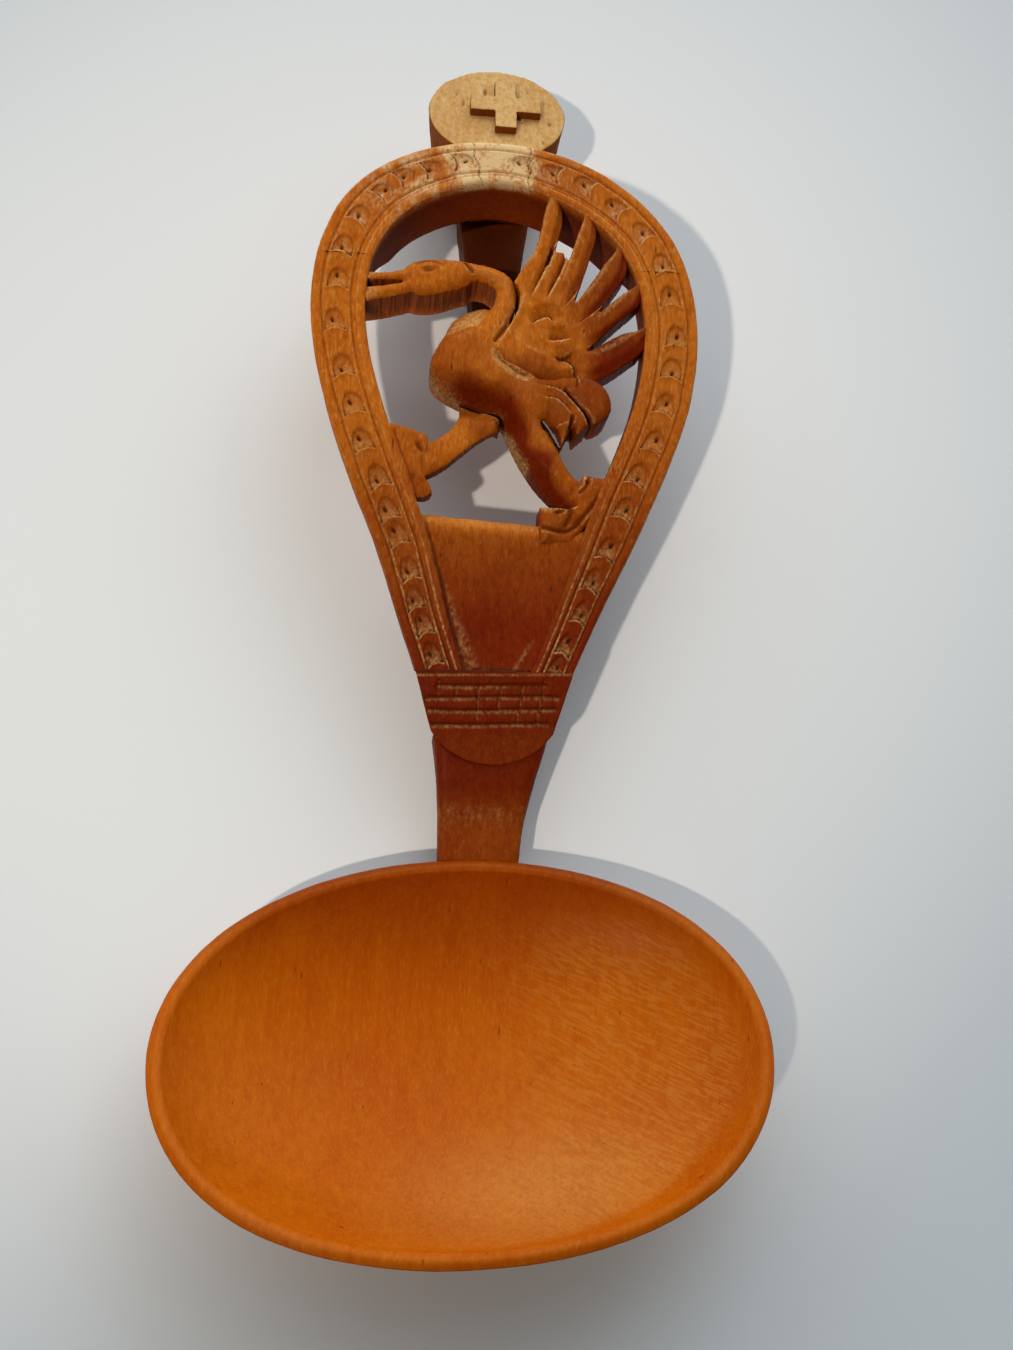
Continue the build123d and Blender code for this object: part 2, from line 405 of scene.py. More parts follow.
def makeGrainGroup():
    group, start, end = newGroup(
        "woodGrain",
        [("Vector", "NodeSocketVector")],
        [(label, "NodeSocketFloat") for label in ("Tone", *grainLayers, "Height")],
    )
    vector = start.outputs["Vector"]
    broad = mathNode(group, "MULTIPLY", noiseNode(group, vector, (70, 22, 70), 3.0), 0.6)
    streak = mathNode(group, "MULTIPLY", noiseNode(group, vector, (900, 60, 900)), 0.4)
    tone = mathNode(group, "ADD", broad, streak)
    join(group, rangeNode(group, tone, 0.3, 0.7), end.inputs["Tone"])
    for label, (stretch, detail, rough, span) in grainLayers.items():
        layer = noiseNode(group, vector, stretch, detail, rough)
        join(group, rangeNode(group, layer, *span), end.inputs[label])
    join(group, noiseNode(group, vector, (2600, 900, 2600)), end.inputs["Height"])
    return group


def makeWearLightGroup():
    group, start, end = newGroup(
        "wornEdgesAndPaintedLight",
        [
            ("Vector", "NodeSocketVector"),
            ("Color", "NodeSocketColor"),
            ("Pale Color", "NodeSocketColor"),
            ("Dark Color", "NodeSocketColor"),
            ("Polish", "NodeSocketFloat"),
            ("Broken", "NodeSocketFloat"),
        ],
        [("Color", "NodeSocketColor"), ("Roughness", "NodeSocketFloat")],
    )
    # pale and dark paint: wear and dirt, and also painted highlights and painted shade
    pale = addNode(group, "ShaderNodeAttribute", attribute_name="pale").outputs["Fac"]
    dark = addNode(group, "ShaderNodeAttribute", attribute_name="dark").outputs["Fac"]
    speckle = noiseNode(group, start.outputs["Vector"], (1900, 1300, 1900), 2.0, 0.6)
    uneven = mathNode(group, "SUBTRACT", speckle, 0.5)
    uneven = mathNode(group, "MULTIPLY", uneven, start.outputs["Broken"])
    broken = mathNode(group, "MULTIPLY", pale, mathNode(group, "ADD", uneven, 1.0))
    paleMask = rangeNode(group, broken, 0.1, 0.9)
    darkMask = rangeNode(group, dark, 0.0, 1.0)
    wearAndHighlight = mixNode(group, paleMask, start.outputs["Color"], start.outputs["Pale Color"])
    join(group, mixNode(group, darkMask, wearAndHighlight, start.outputs["Dark Color"]), end.inputs["Color"])
    dull = mathNode(group, "ADD", start.outputs["Polish"], mathNode(group, "MULTIPLY", paleMask, 0.18))
    join(group, dull, end.inputs["Roughness"])
    return group


grainGroup = makeGrainGroup()
wearLightGroup = makeWearLightGroup()


def strokeNode(tree, place, tool):
    # fine strokes of a tool, where they are painted
    turned = addNode(tree, "ShaderNodeMapping")
    turned.inputs["Rotation"].default_value = [radians(angle) for angle in tool["turn"]]
    join(tree, place, turned.inputs["Vector"])
    strokes = noiseNode(tree, turned.outputs["Vector"], tool["stretch"], 1.0)
    strokes = rangeNode(tree, strokes, *tool["range"])
    where = addNode(tree, "ShaderNodeAttribute", attribute_name=tool["painted"]).outputs["Fac"]
    return mathNode(tree, "MULTIPLY", strokes, where)


def makeWood(name, look):
    material = bpy.data.materials.new(name)
    material.use_nodes = True
    tree = material.node_tree
    tree.nodes.clear()
    output = addNode(tree, "ShaderNodeOutputMaterial")
    shader = addNode(tree, "ShaderNodeBsdfPrincipled")
    shader.inputs["Specular IOR Level"].default_value = look["gloss"]
    join(tree, shader.outputs["BSDF"], output.inputs["Surface"])
    place = addNode(tree, "ShaderNodeTexCoord").outputs["Object"]
    grain = addNode(tree, "ShaderNodeGroup", node_tree=grainGroup)
    join(tree, place, grain.inputs["Vector"])
    color = mixNode(tree, grain.outputs["Tone"], look["deep"], look["light"])
    for label, key in (("Fleck", "fleck"), ("Mottle", "mottle")):
        amount = mathNode(tree, "MULTIPLY", grain.outputs[label], look[key])
        color = mixNode(tree, amount, color, look[key + "Color"])
    patina = addNode(tree, "ShaderNodeAttribute", attribute_name="patina").outputs["Fac"]
    color = mixNode(tree, patina, color, look["patina"], "MULTIPLY")
    amount = mathNode(tree, "MULTIPLY", grain.outputs["Pore"], look["pore"])
    color = mixNode(tree, amount, color, look["dark"])
    height = grain.outputs["Height"]
    if "tool" in look:
        tool = look["tool"]
        strokes = strokeNode(tree, place, tool)
        color = mixNode(tree, mathNode(tree, "MULTIPLY", strokes, tool["share"]), color, tool["color"])
        height = mathNode(tree, "ADD", height, mathNode(tree, "MULTIPLY", strokes, tool["height"]))
    wearLightNode = addNode(tree, "ShaderNodeGroup", node_tree=wearLightGroup)
    wearLightNode.inputs["Polish"].default_value = look["polish"]
    wearLightNode.inputs["Broken"].default_value = look["broken"]
    join(tree, place, wearLightNode.inputs["Vector"])
    join(tree, color, wearLightNode.inputs["Color"])
    wearLightNode.inputs["Pale Color"].default_value = look["pale"]
    wearLightNode.inputs["Dark Color"].default_value = look["dark"]
    join(tree, wearLightNode.outputs["Color"], shader.inputs["Base Color"])
    join(tree, wearLightNode.outputs["Roughness"], shader.inputs["Roughness"])
    bump = addNode(tree, "ShaderNodeBump")
    bump.inputs["Strength"].default_value = look["bump"]
    bump.inputs["Distance"].default_value = 0.1 * mm
    join(tree, height, bump.inputs["Height"])
    join(tree, bump.outputs["Normal"], shader.inputs["Normal"])
    return material


bowlLook = {
    "deep": (0.44, 0.076, 0.001, 1),
    "light": (0.53, 0.117, 0.002, 1),
    "fleck": 0.3,
    "fleckColor": (0.58, 0.19, 0.02, 1),
    "mottle": 0.22,
    "mottleColor": (0.34, 0.050, 0.001, 1),
    "pore": 0.6,
    # short strokes of the bent knife across the bowl
    "tool": {
        "painted": "ripple",
        "stretch": (420, 2300, 60),
        "turn": (0, 0, 27),
        "range": (0.43, 0.62),
        "share": 0.17,
        "color": (0.66, 0.30, 0.06, 1),
        "height": 1.2,
    },
    "patina": (0.40, 0.19, 0.10, 1),
    "pale": (0.66, 0.32, 0.085, 1),
    "dark": (0.10, 0.012, 0.001, 1),
    "broken": 0.9,
    "polish": 0.34,
    "gloss": 0.035,
    "bump": 0.3,
}
handleLook = {
    "deep": (0.45, 0.092, 0.002, 1),
    "light": (0.60, 0.170, 0.010, 1),
    "fleck": 0.5,
    "fleckColor": (0.66, 0.29, 0.055, 1),
    "mottle": 0.5,
    "mottleColor": (0.30, 0.055, 0.002, 1),
    "pore": 0.7,
    # upright marks of the fret saw
    "tool": {
        "painted": "sawn",
        "stretch": (2300, 2300, 90),
        "turn": (-7, 0, 0),
        "range": (0.44, 0.6),
        "share": 0.6,
        "color": (0.10, 0.020, 0.003, 1),
        "height": -1.5,
    },
    "patina": (0.31, 0.105, 0.04, 1),
    "pale": (0.68, 0.41, 0.15, 1),
    "dark": (0.05, 0.010, 0.002, 1),
    "broken": 2.4,  # how unevenly the pale wear and painted highlights show
    "polish": 0.48,
    "gloss": 0.05,
    "bump": 0.45,
}
knobLook = {
    "deep": (0.52, 0.27, 0.09, 1),
    "light": (0.66, 0.41, 0.17, 1),
    "fleck": 0.5,
    "fleckColor": (0.68, 0.47, 0.25, 1),
    "mottle": 0.6,
    "mottleColor": (0.46, 0.19, 0.04, 1),
    "pore": 0.5,
    "patina": (0.29, 0.10, 0.012, 1),
    "pale": (0.67, 0.46, 0.25, 1),
    "dark": (0.12, 0.03, 0.006, 1),
    "broken": 2.4,
    "polish": 0.65,
    "gloss": 0.02,
    "bump": 0.9,
}
crownLook = dict(handleLook, pale=(0.82, 0.57, 0.29, 1))  # bleached
bowlWood = makeWood("bowlWood", bowlLook)
crownWood = makeWood("crownWood", crownLook)
handleWood = makeWood("handleWood", handleLook)
knobWood = makeWood("knobWood", knobLook)
print("wood mixed")


# Darker low on the handle: the neck, band and panel are darkest, fading out towards the crown
def patinaAt(coords):
    height = toLocal(coords, handlePlace)[:, 1]
    return 1 - ramp(height, -4, 52)


def paleEdgesDarkHollows(piece):
    # pale on worn edges, dark in the cuts: painted shade and dirt
    stand = bulge(piece, 8)
    paint(piece, "pale", 0.7 * ramp(stand, 0.03, 0.3))
    paint(piece, "dark", 0.5 * ramp(-stand, 0.04, 0.2))


# Bowl
bowlSizes = {
    "outer": (47.8, 31.7, 22.2),
    "inner": (45.95, 29.75, 18.8),
    "middle": 6.0,
    "lipDrop": 0.55,
    "lipRound": 0.3,
    "lipSpan": (0.5, 0.6),  # where the lip lies on the way from the inside to the outside
    "fuller": (0.010, 0.030),  # how far the corners swell, on the handle's side and away from it
    "around": 420,
    "across": 150,
    "waves": ((0.10, 9.0, 0), (0.03, 2.2, 1)),
}
bowlWearAndLight = {
    "rim": (45.9, 30.6),
    "lip": 0.12,
    # the crest is a painted highlight along the top of the lip
    "crest": 0.12,
    "golden": 0.08,
    # the next two give a painted sheen on the lower middle of the bowl
    "wearAndSheen": 0.34,
    "sheenSpot": ((6, 30), (-19, 14)),  # middle and reach, across and up
    "farSide": 0.5,
    "outside": 0.3,
    "farLip": 0.16,
}


def formBowl(a, b):
    turn = a * 2 * pi
    outer = np.array(bowlSizes["outer"])
    inner = np.array(bowlSizes["inner"])
    middle = bowlSizes["middle"]
    lipStart, lipEnd = bowlSizes["lipSpan"]
    outerEnd = np.arccos((middle + bowlSizes["lipDrop"]) / outer[2])
    innerEnd = np.arccos(middle / inner[2])
    inside = np.clip(b / lipStart, 0, 1) * innerEnd
    outside = (1 - np.clip((b - lipEnd) / (1 - lipEnd), 0, 1)) * outerEnd
    lip = np.clip((b - lipStart) / (lipEnd - lipStart), 0, 1)
    far, near = bowlSizes["fuller"]
    swell = 1 + np.where(np.sin(turn) > 0, far, near) * np.sin(2 * turn) ** 2
    heading = np.stack([np.cos(turn), np.sin(turn)], axis=1) * swell[:, None]
    innerFlat = heading * inner[:2] * np.sin(inside)[:, None]
    outerFlat = heading * outer[:2] * np.sin(outside)[:, None]
    innerHeight = middle - inner[2] * np.cos(inside)
    outerHeight = middle - outer[2] * np.cos(outside)
    lipHeight = bowlSizes["lipRound"] * np.sin(pi * lip) - bowlSizes["lipDrop"] * lip ** 2.2
    flat = innerFlat * (1 - lip)[:, None] + outerFlat * lip[:, None]
    height = np.where(b < lipStart, innerHeight, np.where(b < lipEnd, lipHeight, outerHeight))
    return toWorld(np.column_stack([flat, height]), bowlPlace)


def makeBowl():
    piece = formedGrid("spoonBowl", bowlSizes["around"], bowlSizes["across"], formBowl)
    coords = readCoords(piece)
    coords += readNormals(piece) * waviness(coords, bowlSizes["waves"])
    coords[:, 2] = np.maximum(coords[:, 2], 0)
    writeCoords(piece, coords)
    upward = readNormals(piece)[:, 2]
    across, up, height = toLocal(coords, bowlPlace).T
    reach = np.hypot(across / bowlWearAndLight["rim"][0], up / bowlWearAndLight["rim"][1])
    onLip = ramp(reach, 0.93, 0.95) * ramp(height, -1.6, -0.6)
    # the crest of the lip gets a painted highlight
    crest = ramp(height, 0.02, 0.26)
    golden = ramp(across, -10, 30) * (1 - ramp(reach, 0.85, 0.92))
    # a painted sheen on the lower middle of the bowl
    spotAcross, spotUp = bowlWearAndLight["sheenSpot"]
    wearAndSheen = bell(across, *spotAcross) * bell(up, *spotUp) * (1 - ramp(reach, 0.88, 0.96))
    pale = bowlWearAndLight["lip"] * onLip + bowlWearAndLight["crest"] * crest
    paint(piece, "pale", pale + bowlWearAndLight["golden"] * golden + bowlWearAndLight["wearAndSheen"] * wearAndSheen)
    patina = bowlWearAndLight["farSide"] * ramp(up, 6, 28) + bowlWearAndLight["outside"] * ramp(-upward, -0.3, 0.1)
    paint(piece, "patina", patina + bowlWearAndLight["farLip"] * onLip * ramp(up, 10, 24))
    strokes = ramp(across, -2, 22) * (1 - ramp(reach, 0.86, 0.92)) * (1 - ramp(up, 16, 24))
    paint(piece, "ripple", strokes * (height > -bowlSizes["inner"][2]) * (upward > 0))
    handIn(piece, ["bowl"], bowlWood)


makeBowl()
print("bowl carved")


# Frame of two rails and a crown, with scale cuts that point to the crown
frameSizes = {
    "sides": (
        (0.33, -0.055), (0.39, 0.0), (0.64, 0.22), (0.89, 0.44), (1.0, 0.66), (0.9, 0.82), (0.66, 0.925),
    ),
    "half": 32.1,
    "height": 91.2,
    "railWidth": 8.9,
    "crownWidth": 7.6,
    "footNarrowing": (1.7, 2.5),
    "narrowOver": 30.0,
    "railDepth": 6.5,
    "crownDepth": 12.5,
    "backBevel": 2.6,
    "bevelEnd": (58, 72),
    # painted shade: the right rail is painted darker towards its foot
    "rightRailShade": 0.13,  # how much darker the right rail is
    "taper": (69.0, 78.0),
    "edge": 0.8,
    "edgeFall": 0.6,
    "grooves": (1.75, 6.55),
    "grooveDepth": 0.34,
    "ridges": (2.07, 6.25, 7.55),
    "scratch": 7.3,
    "cracks": (-4.4, 5.4),
    "chips": ((89.0, 0.9), (81.9, 0.7)),  # where from the band on the left, and half the length
    "faces": (0.56, 0.74, 0.84),  # where the front, the inner wall and the back end, round the rail
    "waves": ((0.07, 5.0, 2), (0.03, 1.1, 3)),
    "along": 1150,
    "across": 104,
    "steps": 4000,
}
# distance of each scale's nick from the band, along the frame's edge
leftScales = (
    2.0, 7.1, 11.5, 16.3, 22.4, 26.8, 32.4, 39.1, 45.7,
    52.7, 61.2, 69.3, 76.1, 83.4, 90.5, 96.2, 101.8, 107.9,
)
rightScales = (
    0.6, 4.6, 10.3, 15.8, 21.4, 28.7, 35.0, 41.6, 48.6,
    55.4, 61.7, 69.5, 76.3, 83.6, 90.6, 97.9, 104.5, 110.0,
)
scaleCut = {
    "middle": 4.0,
    "below": 2.0,
    "bend": 0.22,
    "length": 3.6,
    "halfWidth": 1.75,
    "roundness": 2.6,
    "depth": 0.95,
    "nickDepth": 0.6,
    "lip": 0.12,
}


def frameLine():
    sides = np.array(frameSizes["sides"]) * (frameSizes["half"], frameSizes["height"])
    left = sides * (-1, 1)
    return smoothLine(np.vstack([left, [(0, frameSizes["height"])], sides[::-1]]), frameSizes["steps"])


def railWidthAt(share, height):
    crown = bell(share, 0.5, 0.05)
    left, right = frameSizes["footNarrowing"]
    narrowing = np.where(share < 0.5, left, right) * (1 - ramp(height, 0, frameSizes["narrowOver"]))
    rail = frameSizes["railWidth"]
    return rail + (frameSizes["crownWidth"] - rail) * crown - narrowing


def cutScales(along, across, spots, pale, dark):
    height = np.zeros_like(along)
    for number, spot in enumerate(spots):
        near = np.abs(along - spot) < 6
        above = along[near] - spot
        beside = across[near] - scaleCut["middle"] - 0.25 * np.sin(number * 2.4)
        crescent = above + scaleCut["below"] + scaleCut["bend"] * beside ** 2
        power = scaleCut["roundness"]
        arch = np.clip(1 - np.abs(beside / scaleCut["halfWidth"]) ** power, 0, 1) ** (1 / power)
        reach = scaleCut["length"] * np.maximum(arch, 0.001)
        fall = np.clip(1 - crescent / reach, 0, 1) * (crescent > 0) * (arch > 0)
        depth = scaleCut["depth"] * fall ** 0.75 * ramp(arch, 0, 0.55)
        lip = scaleCut["lip"] * bell(crescent, -0.3, 0.3) * (np.abs(beside) < 2.0)
        nickHeight = above + 0.55 - 0.65 * np.sin(number * 1.9)
        nick = bell(nickHeight, 0, 0.5) * bell(beside + 0.15 * nickHeight, -0.3, 0.3)
        height[near] += lip - depth - scaleCut["nickDepth"] * nick
        # the floor is pale bare wood, the ridge gets a painted highlight, and the nick, the rim and the
        # floor get painted shade
        floor = fall ** 0.6 * ramp(arch, 0.2, 0.75)
        ridge = bell(crescent, -0.1, 0.15) * (1 - ramp(np.abs(beside), 1.3, 2.1))
        rim = bell(fall, 0.12, 0.12) * (crescent > 0.3) * (arch > 0)
        bandward = 1 - ramp(along[near], 4, 40)  # near the band the cuts get less painted shade and weaker ridge highlights
        pale[near] = strongest(pale[near], (0.42 - 0.02 * bandward) * floor, (0.42 - 0.27 * bandward) * ridge)
        shaded = strongest((0.42 - 0.25 * bandward) * rim, (0.16 - 0.1 * bandward) * floor)
        dark[near] = strongest(dark[near], nick, shaded)
    return height


frameWearAndLight = {}


def formFrame(a, b):
    line = frameLine()
    heading = np.gradient(line, axis=0)
    heading /= np.hypot(*heading.T)[:, None]
    inward = np.stack([heading[:, 1], -heading[:, 0]], axis=1)
    shares = np.linspace(0, 1, frameSizes["steps"])
    edge, into = (
        np.stack([np.interp(a, shares, column) for column in rows.T], axis=1) for rows in (line, inward)
    )
    width = railWidthAt(a, edge[:, 1])
    frontEnd, wallEnd, backEnd = frameSizes["faces"]
    front = np.clip(b / frontEnd, 0, 1)
    innerWall = np.clip((b - frontEnd) / (wallEnd - frontEnd), 0, 1)
    back = np.clip((b - wallEnd) / (backEnd - wallEnd), 0, 1)
    outerWall = np.clip((b - backEnd) / (1 - backEnd), 0, 1)
    middle = edge + into * (width / 2)[:, None]
    bevel = frameSizes["backBevel"] * (1 - ramp(middle[:, 1], *frameSizes["bevelEnd"]))
    under = width + (bevel - width) * back
    outer = bevel * (1 - np.clip(outerWall / 0.6, 0, 1))
    across = np.where(b < wallEnd, front * width, np.where(b < backEnd, under, outer))
    spot = edge + into * across[:, None]
    thicker = frameSizes["crownDepth"] - frameSizes["railDepth"]
    depth = frameSizes["railDepth"] + thicker * ramp(middle[:, 1], *frameSizes["taper"])
    lift = frameRelief(a, np.clip(across, 0, width), width)
    height = lift - (lift + depth) * np.where(b < backEnd, innerWall, 1 - outerWall)
    frameWearAndLight["onFront"] = np.maximum(1 - ramp(b, 0.56, 0.6), ramp(b, 0.9, 1.0))
    frameWearAndLight["innerWall"] = ramp(b, 0.565, 0.60) * (b < 0.76)
    return toWorld(swayed(np.column_stack([spot, height])), handlePlace)


def frameRelief(a, across, width):
    line = frameLine()
    lengths = np.concatenate(([0.0], np.cumsum(np.hypot(*np.diff(line, axis=0).T))))
    total = lengths[-1]
    leftHalf = slice(frameSizes["steps"] // 2)
    start = np.interp(0, line[leftHalf, 1], lengths[leftHalf])
    along = a * total
    fromLeft = along - start
    fromRight = total - along - start
    fromTop = along - total / 2
    nearBand = 1 - ramp(np.minimum(fromLeft, fromRight), 4, 40)
    rise, pale, dark = np.zeros((3, len(a)))
    for inset in (across, width - across):
        gone = np.clip(1 - inset / frameSizes["edge"], 0, 1)
        rise -= frameSizes["edgeFall"] * (1 - np.sqrt(1 - gone ** 2))
    inRail = across / (width / frameSizes["railWidth"])
    wobbling = inRail - 0.04 * np.sin(along / 3.1) - 0.028 * np.sin(along / 1.3 + 1)
    # the grooves are painted dark: painted shade and dirt
    for centre in frameSizes["grooves"]:
        cut = bell(wobbling, centre, 0.2)
        rise -= frameSizes["grooveDepth"] * cut
        dark = np.maximum(dark, 0.35 * cut)
    for centre in frameSizes["ridges"]:
        pale = np.maximum(pale, (0.28 + 0.14 * nearBand) * bell(wobbling, centre, 0.3))
    rise -= 0.12 * bell(inRail, frameSizes["scratch"], 0.16)
    rise += cutScales(fromLeft, inRail, leftScales, pale, dark)
    rise += cutScales(fromRight, inRail, rightScales, pale, dark)
    bleached = np.exp(-((fromTop + 1.5) / 9.5) ** 4)
    patches = ramp(roughness(np.column_stack([along, across, 0 * along]), 2.2, 12), -0.45, 0.35)
    wearAndSheen = (0.2 + 0.34 * patches) * bell(fromTop, -8, 22)
    pale = strongest(pale, (0.58 + 0.4 * patches) * bleached, wearAndSheen)
    for spot, half in frameSizes["chips"]:
        chip = bell(fromLeft, spot, half) * bell(inRail, 4.2, 0.4)
        rise -= 0.25 * chip
        pale = np.maximum(pale, chip)
    for spot in frameSizes["cracks"]:
        crack = bell(fromTop - 0.25 * np.sin(across * 1.7) - 0.12 * across, spot, 0.11)
        rise -= 0.3 * crack
        dark = np.maximum(dark, 0.75 * crack)
    frameWearAndLight["pale"] = pale
    frameWearAndLight["dark"] = dark
    return rise


def dressFrame(piece):
    for name in ("pale", "dark"):
        paint(piece, name, frameWearAndLight["onFront"] * frameWearAndLight[name])
    coords = readCoords(piece)
    local = toLocal(coords, handlePlace)
    # painted shade on the right rail's lower part
    rightRailShade = frameSizes["rightRailShade"] * ramp(local[:, 0], 4, 14) * (1 - ramp(local[:, 1], 55, 75))
    # the inner walls are painted darker: dirt and painted shade
    paint(piece, "patina", np.maximum(patinaAt(coords) + rightRailShade, 0.9 * frameWearAndLight["innerWall"]))


def makeFrame():
    piece = formedGrid("wholeFrame", frameSizes["along"], frameSizes["across"], formFrame, dressFrame)
    coords = readCoords(piece)
    writeCoords(piece, coords + readNormals(piece) * waviness(coords, frameSizes["waves"]))
    # on top of what is painted, pale on what stands out and dark in the hollows, which is painted shade
    # and dirt
    stand = bulge(piece, 10)
    wearAndSheen = 0.38 * ramp(stand, 0.03, 0.16) * ramp(readNormals(piece)[:, 2], 0.1, 0.4)
    paint(piece, "pale", np.maximum(readPaint(piece, "pale"), wearAndSheen))
    paint(piece, "dark", np.maximum(readPaint(piece, "dark"), 0.4 * ramp(-stand, 0.04, 0.22)))
    return piece


def cutAcross(piece, spot, normal, clearInner):
    startEdit(piece)
    bpy.ops.mesh.bisect(
        plane_co=toWorld(np.array(spot), handlePlace) * mm,
        plane_no=handlePlace[1] @ np.array(normal),
        use_fill=True,
        clear_inner=clearInner,
        clear_outer=not clearInner,
    )
    endEdit()


def splitFrame():
    whole = makeFrame()
    crownFoot = frameSizes["taper"][0]
    for name, node in (("leftRail", "left_rail"), ("rightRail", "right_rail"), ("crownArch", "crown")):
        piece = bpy.data.objects.new(name, whole.data.copy())
        bpy.context.collection.objects.link(piece)
        if node == "crown":
            cutAcross(piece, (0, crownFoot, 0), (0, 1, 0), True)
        else:
            cutAcross(piece, (0, crownFoot, 0), (0, 1, 0), False)
            cutAcross(piece, (0, 0, 0), (0, 1, 0), True)
            cutAcross(piece, (0, 0, 0), (1, 0, 0), node == "right_rail")
        handIn(piece, [node], crownWood if node == "crown" else handleWood, 50)
    bpy.data.objects.remove(whole)


splitFrame()
print("frame carved")


# Bird: each piece is rounded off from its edge, then cut with small tools
birdBack = -9.0  # height of the bird's back below the plate's front


def blended(local, spots):
    # blends the numbers that are given at spots on the grid
    spots = np.array(spots, float)
    centres = onGrid(spots[:, :2])
    weights = 1 / (0.5 + ((local[:, None, :2] - centres[None]) ** 2).sum(axis=2)) ** 2
    return (weights / weights.sum(axis=1)[:, None]) @ spots[:, 2:]


def facingFront(piece, place=handlePlace):
    return readNormals(piece) @ place[1][:, 2]


def frontShare(piece, place=handlePlace):
    return ramp(facingFront(piece, place), 0.2, 0.6)


def sinkFront(piece, drop, top=0.0):
    # lowers the front, less and less towards the back
    local = readLocal(piece)
    local[:, 2] -= drop * np.clip((local[:, 2] - birdBack) / (top - birdBack), 0, 1)
    writeLocal(piece, local)


def rounded(piece, spots, top=0.0):
    # spots: where on the grid, how wide and how deep the rounding is there
    local = readLocal(piece)
    facing = facingFront(piece)
    onEdge = (facing > 0.25) & (facing < 0.9) & (local[:, 2] > top - 1.2)
    tree = KDTree(int(onEdge.sum()))
    for index, point in enumerate(local[onEdge]):
        tree.insert((point[0], point[1], 0.0), index)
    tree.balance()
    inset = np.array([tree.find((p[0], p[1], 0.0))[2] for p in local])
    inset = np.where(facing < 0.1, 0, inset)
    inset = softened(inset, readEdges(piece), 4)
    width, fall = blended(local, spots).T
    gone = np.clip(1 - inset / width, 0, 1)
    sinkFront(piece, fall * (1 - np.sqrt(1 - gone ** 2)), top)


def toLine(piece, points, place=handlePlace, grid=True):
    line = smoothLine(onGrid(points) if grid else points, 90)
    return lineDistance(readLocal(piece, place)[:, :2], line)


def nearLine(piece, points, width, place=handlePlace, grid=True):
    return bell(toLine(piece, points, place, grid)[0], 0, width)


def carveLine(piece, points, depth, width, place=handlePlace, grid=True):
    cut = nearLine(piece, points, width, place, grid) * frontShare(piece, place)
    writeCoords(piece, readCoords(piece) - depth * cut[:, None] * place[1][:, 2])
    return cut


def carveStep(piece, points, depth, reach):
    # the ground falls away on the line's right-hand side and comes up again
    distance, side, along = toLine(piece, points)
    within = (along > 0) & (along < 1)
    fade = ramp(np.minimum(along, 1 - along), 0, 0.3)
    cut = np.clip(1 - distance / reach, 0, 1) * (side < 0) * within * fade * frontShare(piece)
    writeCoords(piece, readCoords(piece) - depth * cut[:, None] * handlePlace[1][:, 2])
    return cut, bell(distance, 0, 0.3) * (side >= 0) * within * fade


def slopeFrom(piece, points, slope, limit, bend=1.0):
    # how far the surface slopes down on the line's right-hand side
    distance, side, along = toLine(piece, points)
    away = np.where((side < 0) & (along < 1), distance, 0)
    return np.minimum(slope * (np.sqrt(away ** 2 + bend ** 2) - bend), limit), away


def carveSpot(piece, centre, radii, turn, depth):
    local = readLocal(piece)
    offset = local[:, :2] - onGrid(centre)
    angle = radians(turn)
    along = offset[:, 0] * np.cos(angle) + offset[:, 1] * np.sin(angle)
    beside = offset[:, 1] * np.cos(angle) - offset[:, 0] * np.sin(angle)
    cut = np.clip(1 - (along / radii[0]) ** 2 - (beside / radii[1]) ** 2, 0, 1) ** 0.7
    cut *= frontShare(piece)
    local[:, 2] -= depth * cut
    writeLocal(piece, local)
    return cut


def sawMarks(piece, amount, place=handlePlace):
    # upright marks of the fret saw on the walls
    coords = readCoords(piece)
    normals = readNormals(piece)
    flat = toLocal(coords, place) * (1, 1, 0.04)
    marks = roughness(flat, 0.42, 4) + 0.35 * roughness(flat, 1.6, 5)
    coords += normals * (amount * marks * ramp(-np.abs(facingFront(piece, place)), -0.6, -0.25))[:, None]
    coords += normals * (0.05 * roughness(coords, 3.0, 6))[:, None]
    writeCoords(piece, coords)
    return marks


# how dark the bird is painted at spots on the grid
birdTones = (
    (-100, 165, 0.10), (-60, 180, 0.12), (-30, 182, 0.12), (0, 168, 0.05), (-5, 140, 0.0),
    (-30, 122, 0.38), (-10, 112, 0.34), (-45, 108, 0.45), (-25, 95, 0.75), (0, 86, 0.75), (-12, 72, 0.52), (-32, 52, 0.08),
    (-62, 50, 0.30), (-55, 22, 0.48), (20, 88, 0.50), (8, 64, 0.75), (30, 62, 0.36), (24, 40, 1.10),
    (42, 36, 0.40), (40, 12, 0.60), (60, 22, 0.48), (60, 90, 0.75), (48, 78, 0.62), (38, 70, 0.65),
    (0, 135, 0.18), (20, 140, 0.22), (40, 128, 0.30), (22, 112, 0.60), (25, 205, 0.02), (50, 200, 0.28),
    (70, 180, 0.62), (80, 155, 0.70), (78, 128, 0.95),
)


